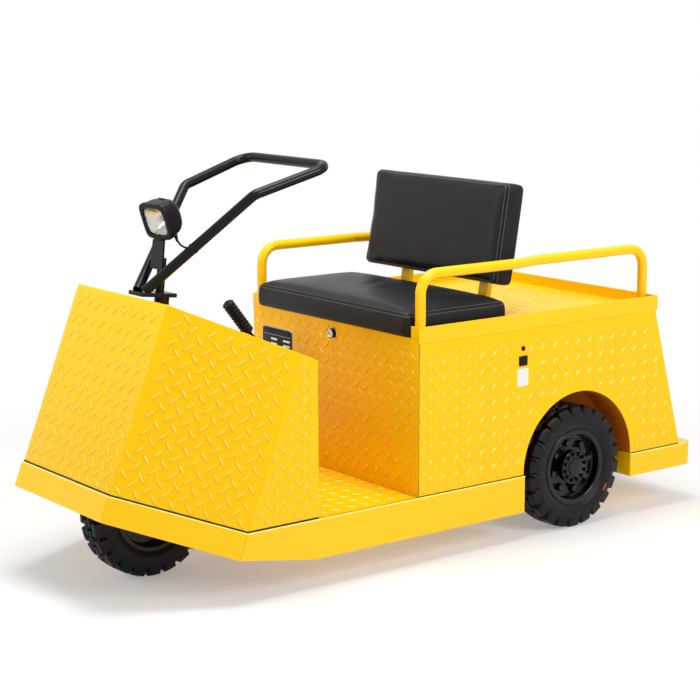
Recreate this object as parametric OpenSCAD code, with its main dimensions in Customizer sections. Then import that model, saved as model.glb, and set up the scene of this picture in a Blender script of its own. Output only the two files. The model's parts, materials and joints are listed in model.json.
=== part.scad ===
// Electric tow tractor: a three-wheeled platform machine with a chequer plate nose and battery tub,
// a tiller over the front wheel, a bench seat and two tubular handrails.
// Millimetres, +Z up, front towards -Y. The origin is the middle of the footprint on the floor.
// Distances named ..._d run along the machine from the rear axle, forwards where not said otherwise.

/* [Wheels] */
// Outside diameter of a tyre
tyre_d = 400; // [380:1:420]
// Width of a tyre across its side walls
tyre_w = 105; // [95:1:112]
// Diameter of the seat between tyre and rim
bead_d = 224; // [216:1:230]
// Width of the seat between tyre and rim
bead_w = 84; // [76:1:90]
// Diameter over the rim's flanges
flange_d = 248; // [240:1:256]
// Thickness of the rim's barrel
rim_wall = 6; // [4:0.5:8]
// Distance between the middles of the rear tyres
track_w = 763; // [756:1:766]
// Distance between the front and rear axles
wheelbase = 1347; // [1335:1:1360]
// Diameter of the rear hub's barrel
hub_d = 100; // [90:1:110]
// Diameter of the rear wheel's stub shaft
stub_d = 40; // [34:1:46]
// Diameter of the front wheel's axle
front_axle_d = 25; // [20:1:30]

/* [Skirt] */
// Width of the machine over its skirts
body_w = 872; // [866:1:890]
// Thickness of the skirt plates
skirt_t = 10; // [9:0.5:14]
// Height of the skirts' top edge along the sides
skirt_z = 208; // [202:1:215]
// Height of the side skirts' lower edge
skirt_foot_z = 88; // [75:1:100]
// Width of the front face
front_w = 510; // [480:1:540]
// Rear axle to the front face's lower edge
nose_foot_d = 1617; // [1605:1:1630]
// Height of the front face's lower edge
nose_foot_z = 335; // [320:1:350]
// Height of the front skirt's lower edge
front_skirt_foot_z = 263; // [250:1:275]
// Rear axle to the corner between slanted and side skirts
corner_d = 1277; // [1260:1:1295]
// Height of the slanted skirts' lower edge at that corner
corner_foot_z = 133; // [120:1:145]
// Rear axle to the bend in the side skirts' lower edge
foot_bend_d = 1049; // [1010:1:1080]
// Rear axle to the rear end of the side skirts
arch_front_d = 225; // [222:1:240]
// Rear axle back to the front wall of the rear skirt
arch_rear_d = 245; // [235:1:255]
// Rear axle back to the rear skirt's face
rear_skirt_d = 548; // [535:1:560]
// Height of the rear skirt's lower edge
rear_skirt_foot_z = 131; // [115:1:140]
// Outer radius of the rear skirt's corners
rear_corner_r = 40; // [20:1:60]

/* [Nose] */
// Thickness of the chequer plate panels
panel_t = 4; // [3:0.5:5]
// Step from the skirts' face in to the panels
panel_inset = 5; // [3:0.5:5]
// Lean of the front face
front_lean = 21.3; // [19:0.1:24]
// Height of the front face's top edge
nose_top_z = 847; // [835:1:852]
// Fall of the nose's top towards the driver
nose_top_fall = 24.5; // [22:0.5:28]
// Rear axle to the nose's rear wall
nose_rear_d = 1027; // [1015:1:1040]

/* [Tub and deck] */
// Thickness of the floor plate
floor_t = 5; // [4:0.5:8]
// Rear axle to the tub's front panel
tub_front_d = 658; // [645:1:672]
// Rear axle back to the top of the tub's rear panel
tub_rear_d = 349; // [344:1:356]
// Lean of the tub's rear panel
rear_lean = 15.8; // [13:0.1:17]
// Radius of the rear wheel arches
arch_r = 238; // [234:1:246]
// Height of the wheel arches' centre above the axle
arch_rise = 10; // [6:1:14]
// Height of the deck rim's lower edge
rim_foot_z = 676; // [665:1:685]
// Height of the deck rim
rim_h = 50; // [44:1:60]
// Thickness of the deck rim
rim_t = 6; // [4:0.5:8]
// Step from the tub's sides out to the rim
rim_proud = 3; // [1:0.5:3.5]
// Depth of the deck below the rim's top edge
deck_recess = 36; // [32:1:40]
// Thickness of the deck plate
deck_t = 6; // [4:0.5:8]

/* [Handrails] */
// Diameter of the handrail tube
rail_d = 32; // [28:1:34]
// Height of the handrail's top
rail_top_z = 896; // [880:1:920]
// Bend radius of the handrail's middle line
rail_bend_r = 60; // [50:1:80]
// Rear axle back to the rear leg
rail_rear_d = 326; // [305:1:328]
// Rear axle to the bend where the rail steps inwards
rail_step_d = 200; // [180:1:220]
// Inward step of the rail's rear part
rail_step = 24; // [10:1:40]

/* [Seat] */
// Width of the cushion
cushion_w = 776; // [750:1:780]
// Length of the cushion
cushion_l = 397; // [380:1:410]
// Height of the cushion's edge
cushion_h = 73; // [60:1:80]
// Overhang of the cushion in front of the tub
cushion_overhang = 12; // [5:1:30]
// Width of the backrest
back_w = 650; // [620:1:680]
// Height of the backrest along its face
back_h = 314; // [300:1:325]
// Thickness of the backrest
back_t = 76; // [66:1:82]
// Lean of the backrest
back_lean = 9.5; // [6:0.5:13]
// Rear axle to the backrest's lower front edge
back_d = 272; // [260:1:285]
// Height of the backrest's lower front edge
back_z = 809; // [800:1:820]
// Distance between the backrest's brackets
bracket_gap = 394; // [360:1:420]
// Width of a bracket bar
bracket_w = 40; // [30:1:50]
// Depth of a bracket bar
bracket_t = 20; // [15:1:25]

/* [Steering] */
// Rearward lean of the steering axis
rake = 6.5; // [5.5:0.1:7.5]
// Diameter of the steering stem
stem_d = 44; // [38:1:50]
// Outside diameter of the head tube
head_d = 76; // [70:1:84]
// Length of the head tube
head_l = 200; // [180:1:210]
// Room between tyre and fork blade
fork_gap = 14; // [10:1:18]
// Thickness of a fork blade
blade_t = 12; // [10:1:15]
// Width of a fork blade
blade_w = 70; // [60:1:76]
// Room between tyre and fork crown
crown_gap = 25; // [20:1:28]
// Thickness of the fork crown
crown_t = 25; // [20:1:28]
// Diameter of the tiller tube
tiller_d = 30; // [26:1:32]
// Bend radius of the tiller's middle line
tiller_bend_r = 46; // [42:1:62]
// Width of the tiller across its rear corners
tiller_w = 444; // [425:1:460]
// Height of the tiller's rear bar
tiller_z = 1199; // [1180:1:1220]
// Rear axle to the tiller's rear bar
tiller_rear_d = 823; // [805:1:840]

/* [Lamp] */
// Width and height of the lamp
lamp_w = 112; // [100:1:120]
// Depth of the lamp's housing
lamp_l = 78; // [70:1:90]
// Downward tilt of the lamp
lamp_tilt = 20; // [10:1:25]
// Height of the lamp's middle
lamp_z = 1060; // [1046:1:1066]

/* [Tow hitch] */
// Diameter of the hitch's pin hole
hitch_bore_d = 26; // [20:1:30]
// Gap between the hitch's jaws
hitch_gap = 35; // [28:1:40]
// Thickness of a hitch jaw
hitch_t = 12; // [10:1:15]
// Rear axle back to the end of the hitch
hitch_d = 623; // [612:1:640]

/* [Hidden] */
$fn = 48;

// Colours of the finishes
paint = "gold";
tube_black = "dimgray";
leather_black = "black";
rubber_black = "darkslategray";
steel = "silver";

// Sides of a swept tube's section
tube_sides = 16;

// Clearance of a piece that only rests on its seat, and of a turning fit
rest_gap = 0.3;
turn_gap = 0.3;

// Places worked out from the driving sizes
half_w = body_w / 2;
wheel_z = tyre_d / 2;
track_x = track_w / 2;
panel_x = half_w - panel_inset;
inner_x = panel_x - panel_t;
skirt_in_x = half_w - skirt_t;
rim_out_x = panel_x + rim_proud;
rim_in_x = rim_out_x - rim_t;
rim_top_z = rim_foot_z + rim_h;
deck_z = rim_top_z - deck_recess;
deck_under_z = deck_z - deck_t;
arch_z = wheel_z + arch_rise;
arch_y = (arch_rear_d - arch_front_d) / 2;
house_gap = 16;
house_x = track_x - tyre_w / 2 - house_gap;
stem_r = stem_d / 2;

// Slant of the front face at a height, as a distance from the rear axle
function front_d(z) = nose_foot_d - (z - nose_foot_z) * tan(front_lean);
// Slant of the tub's rear panel at a height, as a place behind the rear axle
function rear_y(z) = tub_rear_d + (rim_foot_z - z) * tan(rear_lean);

front_reach = front_d(front_skirt_foot_z);
axle_y = (front_reach - hitch_d) / 2;

// Planes as [unit normal, distance], and the corner where three of them meet
function plane(p, n) = [n / norm(n), p * (n / norm(n))];
function inset(pl, t) = [pl[0], pl[1] - t];
function level(z) = [[0, 0, 1], z];
function across(y) = [[0, 1, 0], y];
function flip(pl) = [[-pl[0].x, pl[0].y, pl[0].z], pl[1]];
function meet(a, b, c) =
    (a[1] * cross(b[0], c[0]) + b[1] * cross(c[0], a[0]) + c[1] * cross(a[0], b[0]))
    / (a[0] * cross(b[0], c[0]));

// Outer planes of the skirts, then of the panels that stand inside them
front_foot = [front_w / 2, -nose_foot_d, nose_foot_z];
side_foot = [half_w, -corner_d, skirt_z];
up_the_front = [0, sin(front_lean), cos(front_lean)];
skirt_f = plane(front_foot, [0, -cos(front_lean), sin(front_lean)]);
skirt_c = plane(front_foot, cross(side_foot - front_foot, up_the_front));
skirt_s = [[1, 0, 0], half_w];
panel_f = inset(skirt_f, panel_inset);
panel_c = inset(skirt_c, panel_inset);
panel_s = inset(skirt_s, panel_inset);

// Planes that end the skirts and panels above and below
nose_corner = meet(panel_c, panel_s, level(skirt_z));
kick_run = front_foot - nose_corner;
kick = plane(nose_corner, [0, kick_run.z, -kick_run.y]);
front_low = meet(skirt_f, level(front_skirt_foot_z), [[1, 0, 0], 0]);
corner_low = meet(skirt_c, skirt_s, level(corner_foot_z));
foot_run = front_low - corner_low;
foot = plane(corner_low, [0, foot_run.z, -foot_run.y]);
bend_run = corner_low - [half_w, -foot_bend_d, skirt_foot_z];
side_bend = plane(corner_low, [0, bend_run.z, -bend_run.y]);
nose_crest = meet(panel_f, level(nose_top_z), [[1, 0, 0], 0]);
nose_roof = plane(nose_crest, [0, sin(nose_top_fall), cos(nose_top_fall)]);

// Moves a shape from the rear axle's place to the machine's own place
module at_axle() {
    translate([0, axle_y, 0])
        children();
}

// Shapes on both sides of the machine
module both_sides() {
    children();
    mirror([1, 0, 0])
        children();
}

// A plate between an outer and an inner ring of corners
module plate(outer, inner) {
    n = len(outer);
    turn = cross(outer[1] - outer[0], outer[2] - outer[1]) * (outer[0] - inner[0]);
    order = turn > 0 ? [for (i = [0 : n - 1]) i] : [for (i = [n - 1 : -1 : 0]) i];
    points = concat([for (i = order) outer[i]], [for (i = order) inner[i]]);
    walls = [for (i = [0 : n - 1]) [i, (i + 1) % n, n + (i + 1) % n, n + i]];
    cap = [for (i = [n - 1 : -1 : 0]) i];
    base = [for (i = [0 : n - 1]) n + i];
    polyhedron(points, concat([cap], [base], walls));
}

// An outline in the side view, given as [y, z], made into a plate of thickness t outwards from x
module side_plate(x, t) {
    translate([x, 0, 0])
        rotate([90, 0, 90])
            linear_extrude(t)
                children();
}

// A profile given as [radius, x] turned about the X axis
module turned(profile) {
    rotate([90, 0, 90])
        rotate_extrude($fn = 96)
            polygon(profile);
}

// A straight bar of round section between two points
module rod(a, b, d) {
    run = b - a;
    tip = run / norm(run);
    side = abs(tip.z) < 0.9 ? cross([0, 0, 1], tip) : cross([1, 0, 0], tip);
    u = side / norm(side);
    v = cross(tip, u);
    multmatrix([[u.x, v.x, tip.x, a.x], [u.y, v.y, tip.y, a.y], [u.z, v.z, tip.z, a.z], [0, 0, 0, 1]])
        cylinder(d = d, h = norm(run));
}

// Stations [place, heading] along a bent tube: its ends and the steps of each elbow
elbow_steps = 6;
function heading(p, i) = (p[i + 1] - p[i]) / norm(p[i + 1] - p[i]);
function turn_deg(p, i) = acos(heading(p, i - 1) * heading(p, i));
function elbow(p, i, r) = let(
        u = heading(p, i - 1),
        v = heading(p, i),
        start = p[i] - u * r * tan(turn_deg(p, i) / 2),
        middle = p[i] + (v - u) / norm(v - u) * r / cos(turn_deg(p, i) / 2),
        e = (start - middle) / r
    ) [for (k = [0 : elbow_steps]) let(a = turn_deg(p, i) * k / elbow_steps)
        [middle + (e * cos(a) + u * sin(a)) * r, u * cos(a) - e * sin(a)]];
function bent_stations(p, r) = let(last = len(p) - 1) concat(
    [[p[0], heading(p, 0)]],
    [for (i = [1 : last - 1]) each elbow(p, i, r)],
    [[p[last], heading(p, last - 1)]]
);

// A round section carried along stations, its end faces cut by a plane where one is given
function square_to(u, t) = (u - (u * t) * t) / norm(u - (u * t) * t);
function side_of(t) = square_to(abs(t.x) < 0.8 ? [1, 0, 0] : [0, 1, 0], t);
function slide_to(q, t, cut) = q + t * (cut[1] - cut[0] * q) / (cut[0] * t);
module swept_tube(st, d, sides, cut = undef) {
    last = len(st) - 1;
    us = [for (i = 0, u = side_of(st[0][1]); i <= last;
               i = i + 1, u = i <= last ? square_to(u, st[i][1]) : u) u];
    points = [for (i = [0 : last], k = [0 : sides - 1]) let(
            t = st[i][1],
            a = 360 * k / sides,
            q = st[i][0] + (us[i] * cos(a) + cross(t, us[i]) * sin(a)) * d / 2
        ) cut == undef || (i > 0 && i < last) ? q : slide_to(q, t, cut)];
    walls = [for (i = [0 : last - 1], k = [0 : sides - 1]) let(j = (k + 1) % sides)
        [i * sides + k, (i + 1) * sides + k, (i + 1) * sides + j, i * sides + j]];
    start = [for (k = [0 : sides - 1]) k];
    end = [for (k = [sides - 1 : -1 : 0]) last * sides + k];
    polyhedron(points, concat([start], [end], walls));
}

// Skirts: thick plates round the foot of the machine, kicked up under the nose
module skirt_front() {
    f = skirt_f;
    c = skirt_c;
    fi = inset(f, skirt_t);
    ci = inset(c, skirt_t);
    color(paint)
        at_axle()
            plate([meet(f, c, kick), meet(f, flip(c), kick), meet(f, flip(c), foot), meet(f, c, foot)],
                  [meet(fi, ci, kick), meet(fi, flip(ci), kick), meet(fi, flip(ci), foot), meet(fi, ci, foot)]);
}

module skirt_chamfers() {
    f = skirt_f;
    c = skirt_c;
    s = skirt_s;
    fi = inset(f, skirt_t);
    ci = inset(c, skirt_t);
    si = inset(s, skirt_t);
    color(paint)
        at_axle()
            both_sides()
                plate([meet(f, c, kick), meet(c, s, kick), meet(c, s, foot), meet(f, c, foot)],
                      [meet(fi, ci, kick), meet(ci, si, kick), meet(ci, si, foot), meet(fi, ci, foot)]);
}

function side_skirt_ring(c, s, x) = [
    meet(c, s, level(skirt_z)), [x, -arch_front_d, skirt_z], [x, -arch_front_d, skirt_foot_z],
    [x, -foot_bend_d, skirt_foot_z], meet(c, s, side_bend)
];
module skirt_sides() {
    color(paint)
        at_axle()
            both_sides()
                plate(side_skirt_ring(skirt_c, skirt_s, half_w),
                      side_skirt_ring(inset(skirt_c, skirt_t), inset(skirt_s, skirt_t), skirt_in_x));
}

// Outline of the rear skirt in plan, drawn in by a margin
module rear_outline(margin) {
    r = rear_corner_r - margin;
    x = half_w - margin;
    y = rear_skirt_d - margin;
    translate([-x, arch_rear_d + margin])
        square([2 * x, y - arch_rear_d - margin - r]);
    translate([-x + r, arch_rear_d + margin])
        square([2 * (x - r), y - arch_rear_d - margin]);
    for (side = [-1, 1])
        translate([side * (x - r), y - r])
            circle(r);
}
module skirt_rear() {
    color(paint)
        at_axle() {
            translate([0, 0, rear_skirt_foot_z])
                linear_extrude(skirt_z - rear_skirt_foot_z)
                    difference() {
                        rear_outline(0);
                        rear_outline(skirt_t);
                    }
            translate([0, 0, skirt_z - floor_t])
                linear_extrude(floor_t)
                    rear_outline(skirt_t / 2);
        }
}

// Floor of the footwell and of the tub
floor_front_d = nose_rear_d + 24;
module floor_plate() {
    color(paint)
        at_axle()
            translate([-skirt_in_x, -floor_front_d, skirt_z - floor_t])
                cube([2 * skirt_in_x, floor_front_d - arch_front_d, floor_t]);
}

// Two rails under the floor, arched over the rear axle
rail_w = 50;
rail_gap = 10;
rail_x = house_x - panel_t - rail_gap - rail_w;
rail_h = 76;
arch_over_z = 256;
arch_over_y = 75;
arch_ramp_y = 150;
rail_top = skirt_z - floor_t;
module frame_rails() {
    outline = [
        [-floor_front_d, rail_top - rail_h], [-arch_ramp_y - rail_h / 2, rail_top - rail_h],
        [-arch_over_y, arch_over_z], [arch_over_y, arch_over_z],
        [arch_ramp_y, rail_top - rail_h], [arch_rear_d, rail_top - rail_h],
        [arch_rear_d, rail_top], [arch_ramp_y + rail_h / 2, rail_top],
        [arch_over_y + rail_h / 2, arch_over_z + rail_h], [-arch_over_y - rail_h / 2, arch_over_z + rail_h],
        [-arch_front_d, rail_top], [-floor_front_d, rail_top]
    ];
    color(paint)
        at_axle()
            both_sides()
                side_plate(rail_x, rail_w)
                    polygon(outline);
}

// Nose: front, slanted and side panels, a rear wall and a sloping top
module nose_front() {
    f = panel_f;
    c = panel_c;
    t = nose_roof;
    fi = inset(f, panel_t);
    ci = inset(c, panel_t);
    color(paint)
        at_axle()
            plate([meet(f, c, kick), meet(f, c, t), meet(f, flip(c), t), meet(f, flip(c), kick)],
                  [meet(fi, ci, kick), meet(fi, ci, t), meet(fi, flip(ci), t), meet(fi, flip(ci), kick)]);
}

module nose_chamfers() {
    f = panel_f;
    c = panel_c;
    s = panel_s;
    t = nose_roof;
    fi = inset(f, panel_t);
    ci = inset(c, panel_t);
    si = inset(s, panel_t);
    color(paint)
        at_axle()
            both_sides()
                plate([meet(f, c, kick), meet(c, s, kick), meet(c, s, t), meet(f, c, t)],
                      [meet(fi, ci, kick), meet(ci, si, kick), meet(ci, si, t), meet(fi, ci, t)]);
}

function nose_side_ring(c, s) = [
    meet(c, s, level(skirt_z)), meet(s, across(-nose_rear_d), level(skirt_z)),
    meet(s, across(-nose_rear_d), nose_roof), meet(c, s, nose_roof)
];
module nose_sides() {
    color(paint)
        at_axle()
            both_sides()
                plate(nose_side_ring(panel_c, panel_s),
                      nose_side_ring(inset(panel_c, panel_t), inset(panel_s, panel_t)));
}

module nose_bulkhead() {
    rear = -nose_rear_d;
    outer = [meet([[1, 0, 0], inner_x], across(rear), level(skirt_z)),
             meet([[1, 0, 0], -inner_x], across(rear), level(skirt_z)),
             meet([[1, 0, 0], -inner_x], across(rear), nose_roof),
             meet([[1, 0, 0], inner_x], across(rear), nose_roof)];
    front = rear - panel_t;
    inner = [meet([[1, 0, 0], inner_x], across(front), level(skirt_z)),
             meet([[1, 0, 0], -inner_x], across(front), level(skirt_z)),
             meet([[1, 0, 0], -inner_x], across(front), nose_roof),
             meet([[1, 0, 0], inner_x], across(front), nose_roof)];
    color(paint)
        at_axle()
            plate(outer, inner);
}

function nose_top_ring(t) = let(
        fi = inset(panel_f, panel_t),
        ci = inset(panel_c, panel_t),
        si = inset(panel_s, panel_t),
        b = across(-nose_rear_d - panel_t)
    ) [
        meet(fi, ci, t), meet(ci, si, t), meet(si, b, t),
        meet(flip(si), b, t), meet(flip(ci), flip(si), t), meet(fi, flip(ci), t)
    ];
stem_room = 26;
module nose_top() {
    color(paint)
        at_axle()
            difference() {
                plate(nose_top_ring(nose_roof), nose_top_ring(inset(nose_roof, panel_t)));
                on_stem(head_base)
                    cylinder(r = stem_r + stem_room, h = stem_l);
            }
}

// Steering axis: places along it are measured from the front wheel's centre
crown_s = tyre_d / 2 + crown_gap;
head_base = crown_s + crown_t + 15;
stem_top_s = 632;
stem_l = stem_top_s - crown_s;
module on_stem(s) {
    translate([0, -wheelbase, wheel_z])
        rotate([-rake, 0, 0])
            translate([0, 0, s])
                children();
}

// Head tube with two gussets back to the nose's rear wall
gusset_x = 24;
gusset_t = 8;
module steering_head() {
    low_z = wheel_z + (head_base + 12) * cos(rake);
    high_z = wheel_z + (head_base + head_l - 12) * cos(rake);
    low_y = -wheelbase + (head_base + 12) * sin(rake);
    high_y = -wheelbase + (head_base + head_l - 12) * sin(rake);
    wall_y = -nose_rear_d - panel_t;
    color(paint)
        at_axle()
            difference() {
                union() {
                    on_stem(head_base)
                        cylinder(d = head_d, h = head_l);
                    both_sides()
                        side_plate(gusset_x, gusset_t)
                            polygon([[low_y, low_z], [wall_y, low_z - 60], [wall_y, high_z - 60], [high_y, high_z]]);
                }
                on_stem(head_base - 1)
                    cylinder(r = stem_r + turn_gap, h = head_l + 2);
            }
}

// Tub: front, sides with the wheel arches, sloping rear and the wheel houses inside
module tub_front() {
    color(paint)
        at_axle()
            translate([-inner_x, -tub_front_d, skirt_z])
                cube([2 * inner_x, panel_t, deck_under_z - skirt_z]);
}

module tub_sides() {
    color(paint)
        at_axle()
            both_sides()
                side_plate(inner_x, panel_t)
                    difference() {
                        polygon([[-tub_front_d, skirt_z], [rear_y(skirt_z), skirt_z],
                                 [rear_y(rim_foot_z), rim_foot_z], [-tub_front_d, rim_foot_z]]);
                        translate([arch_y, arch_z])
                            circle(arch_r, $fn = 96);
                    }
}

module tub_rear() {
    w = [[1, 0, 0], inner_x];
    r = plane([0, rear_y(rim_foot_z), rim_foot_z], [0, cos(rear_lean), sin(rear_lean)]);
    ri = inset(r, panel_t);
    color(paint)
        at_axle()
            plate([meet(w, r, level(skirt_z)), meet(flip(w), r, level(skirt_z)),
                   meet(flip(w), r, level(deck_under_z)), meet(w, r, level(deck_under_z))],
                  [meet(w, ri, level(skirt_z)), meet(flip(w), ri, level(skirt_z)),
                   meet(flip(w), ri, level(deck_under_z)), meet(w, ri, level(deck_under_z))]);
}

axle_hole_r = 62;
module wheel_houses() {
    color(paint)
        at_axle()
            both_sides() {
                side_plate(house_x, inner_x - house_x)
                    difference() {
                        house_outline(arch_r + panel_t);
                        translate([arch_y, arch_z])
                            circle(arch_r, $fn = 96);
                    }
                side_plate(house_x - panel_t, panel_t)
                    difference() {
                        house_outline(arch_r + panel_t);
                        translate([0, wheel_z])
                            circle(axle_hole_r);
                    }
            }
}
module house_outline(r) {
    intersection() {
        translate([arch_y, arch_z])
            circle(r, $fn = 96);
        translate([-2 * r, skirt_z])
            square([4 * r, 2 * r]);
    }
}

module deck_plate() {
    color(paint)
        at_axle()
            translate([-rim_in_x, -tub_front_d, deck_under_z])
                cube([2 * rim_in_x, tub_front_d + rim_rear_in_y, deck_t]);
}

// Rim round the deck, open at the front, with a short return beside the cushion
rim_rear_in_y = tub_rear_d + 1;
rim_return = 34;
module deck_rim() {
    color(paint)
        at_axle() {
            translate([0, 0, rim_foot_z])
                linear_extrude(rim_h)
                    difference() {
                        translate([-rim_out_x, -tub_front_d])
                            square([2 * rim_out_x, tub_front_d + rim_rear_in_y + rim_t]);
                        translate([-rim_in_x, -tub_front_d - 1])
                            square([2 * rim_in_x, tub_front_d + rim_rear_in_y + 1]);
                    }
            both_sides()
                translate([rim_in_x - rim_return, -tub_front_d, deck_z])
                    cube([rim_return, rim_t, rim_top_z - deck_z]);
        }
}

// Handrails
rail_out_x = rim_in_x - rail_d / 2;
rail_in_x = rail_out_x - rail_step;
rail_z = rail_top_z - rail_d / 2;
rail_front_y = -tub_front_d + rim_t + rail_d / 2;
rail_step_l = 90;
module handrail() {
    path = [
        [rail_out_x, rail_front_y, deck_z], [rail_out_x, rail_front_y, rail_z],
        [rail_out_x, -rail_step_d - rail_step_l / 2, rail_z], [rail_in_x, -rail_step_d + rail_step_l / 2, rail_z],
        [rail_in_x, rail_rear_d, rail_z], [rail_in_x, rail_rear_d, deck_z]
    ];
    color(paint)
        at_axle()
            swept_tube(bent_stations(path, rail_bend_r), rail_d, tube_sides);
}
module handrail_left() {
    handrail();
}
module handrail_right() {
    mirror([1, 0, 0])
        handrail();
}

// Seat: plain pads with rounded corners
pad_r = 24;
module pad(w, l, h) {
    linear_extrude(h)
        for (ends = [[pad_r, 0], [0, pad_r]])
            translate([-w / 2 + ends[0], ends[1]])
                square([w - 2 * ends[0], l - 2 * ends[1]]);
    for (x = [-w / 2 + pad_r, w / 2 - pad_r], y = [pad_r, l - pad_r])
        translate([x, y, 0])
            cylinder(r = pad_r, h = h);
}
module seat_cushion() {
    color(leather_black)
        at_axle()
            translate([0, -tub_front_d - cushion_overhang, deck_z + rest_gap])
                pad(cushion_w, cushion_l, cushion_h);
}

// Backrest frame of reference: at its lower front edge, leaning back
module on_back() {
    translate([0, -back_d, back_z])
        rotate([-back_lean, 0, 0])
            children();
}
module seat_back() {
    color(leather_black)
        at_axle()
            on_back()
                translate([0, back_t, 0])
                    rotate([90, 0, 0])
                        pad(back_w, back_h, back_t);
}

// Two bars from the deck up the back of the backrest, each on a foot
bracket_lap = 170;
bracket_foot_l = 60;
bracket_foot_t = 8;
module back_brackets() {
    drop = back_z - deck_z;
    color(paint)
        at_axle()
            for (side = [-1, 1])
                translate([side * bracket_gap / 2 - bracket_w / 2, 0, 0]) {
                    intersection() {
                        on_back()
                            translate([0, back_t + rest_gap, -2 * drop])
                                cube([bracket_w, bracket_t, 2 * drop + bracket_lap]);
                        translate([0, -tub_front_d, deck_z])
                            cube([bracket_w, tub_front_d + tub_rear_d, 2 * back_h]);
                    }
                    translate([0, bracket_foot_y, deck_z])
                        cube([bracket_w, bracket_foot_l, bracket_foot_t]);
                }
}
bracket_foot_y = -back_d + back_t / cos(back_lean) - (back_z - deck_z) * tan(back_lean);

// Key lock on the tub's front, charging socket with its button on the left side
key_x = 12;
key_z = 652;
key_d = 30;
key_l = 18;
module key_lock() {
    color(steel)
        at_axle()
            translate([key_x, -tub_front_d, key_z])
                rotate([90, 0, 0])
                    difference() {
                        cylinder(d = key_d, h = key_l);
                        translate([0, 0, key_l - 3])
                            cylinder(d = key_d * 0.55, h = 4);
                    }
}

socket_d = 238;
socket_z = 577;
socket_w = 30;
socket_h = 27;
socket_t = 4.5;
button_z = 616;
button_r = 9;
module charge_socket() {
    color(rubber_black)
        at_axle() {
            translate([panel_x, -socket_d - socket_w / 2, socket_z - socket_h / 2])
                difference() {
                    cube([socket_t, socket_w, socket_h]);
                    translate([socket_t - 3, 5, 5])
                        cube([5, socket_w - 10, socket_h - 10]);
                }
            translate([panel_x, -socket_d, button_z])
                rotate([0, 90, 0])
                    cylinder(r = button_r, h = socket_t);
        }
}

// Parking brake: a rod from ears on the tub's front to a ribbed grip
lever_x = -220;
lever_d = 16;
grip_d = 40;
grip_l = 130;
grip_tip = [lever_x, -tub_front_d - 247, 746];
lever_foot = [lever_x, -tub_front_d - 26, 464];
lever_run = (grip_tip - lever_foot) / norm(grip_tip - lever_foot);
grip_base = grip_tip - lever_run * grip_l;
ear_t = 6;
module brake_lever() {
    pin_w = lever_d + 4 * ear_t;
    color(tube_black)
        at_axle() {
            rod(lever_foot, grip_base, lever_d);
            translate([lever_x - pin_w / 2, lever_foot.y, lever_foot.z])
                rotate([0, 90, 0])
                    cylinder(d = lever_d * 0.9, h = pin_w);
            for (x = [lever_x - pin_w / 2, lever_x + pin_w / 2 - ear_t])
                translate([x, lever_foot.y - lever_d, lever_foot.z - lever_d])
                    cube([ear_t, -tub_front_d - lever_foot.y + lever_d, 2 * lever_d]);
        }
}
rib_count = 9;
module brake_grip() {
    color(rubber_black)
        at_axle()
            difference() {
                union() {
                    rod(grip_base, grip_tip, grip_d - 6);
                    for (i = [0 : rib_count - 1])
                        rod(grip_base + lever_run * grip_l * (i + 0.15) / rib_count,
                            grip_base + lever_run * grip_l * (i + 0.85) / rib_count, grip_d);
                }
                rod(grip_base - lever_run, grip_base, lever_d);
            }
}

// Foot pedals: pads on bent arms from the nose's rear wall
pedal_xs = [-130, 120];
pedal_w = 80;
pedal_l = 70;
pedal_t = 10;
pedal_arm_d = 16;
pedal_root_z = 400;
pedal_root_y = 7;
pedal_z = 290;
pedal_reach = 90;
module foot_pedals() {
    color(rubber_black)
        at_axle()
            for (x = pedal_xs) {
                rod([x, -nose_rear_d + pedal_root_y, pedal_root_z], [x, -nose_rear_d + pedal_reach, pedal_z], pedal_arm_d);
                translate([x - pedal_w / 2, -nose_rear_d + pedal_reach, pedal_z])
                    rotate([-40, 0, 0])
                        translate([0, -pedal_t / 2, -pedal_l / 2])
                            cube([pedal_w, pedal_t, pedal_l]);
                translate([x - 25, -nose_rear_d, pedal_root_z - 30])
                    cube([50, 8, 60]);
            }
}

// Battery, drive axle and motor
battery_room = 40;
battery = [2 * (inner_x - battery_room), 320, 350];
module battery_box() {
    color(rubber_black)
        at_axle()
            translate([-battery.x / 2, -tub_front_d + panel_t + 16, skirt_z])
                cube(battery);
}

axle_d = 90;
diff_d = 180;
diff_w = 150;
pad_l = 70;
hub_in = 24;
axle_end_x = track_x - hub_in - 0.5;
stub_l = 44;
module drive_axle() {
    color(tube_black)
        at_axle()
            translate([0, 0, wheel_z]) {
                rotate([0, 90, 0])
                    cylinder(d = axle_d, h = 2 * axle_end_x, center = true);
                rotate([0, 90, 0])
                    cylinder(d = diff_d, h = diff_w, center = true);
                rotate([0, 90, 0])
                    cylinder(d = stub_d, h = 2 * (axle_end_x + stub_l), center = true);
                both_sides()
                    translate([rail_x, -pad_l / 2, 0])
                        cube([rail_w, pad_l, arch_over_z - wheel_z]);
            }
}

motor_d = 150;
motor_l = 125;
motor_z = 250;
module drive_motor() {
    color(tube_black)
        at_axle()
            translate([0, -diff_d / 2 - motor_l, motor_z])
                rotate([-90, 0, 0])
                    cylinder(d = motor_d, h = motor_l);
}

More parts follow.
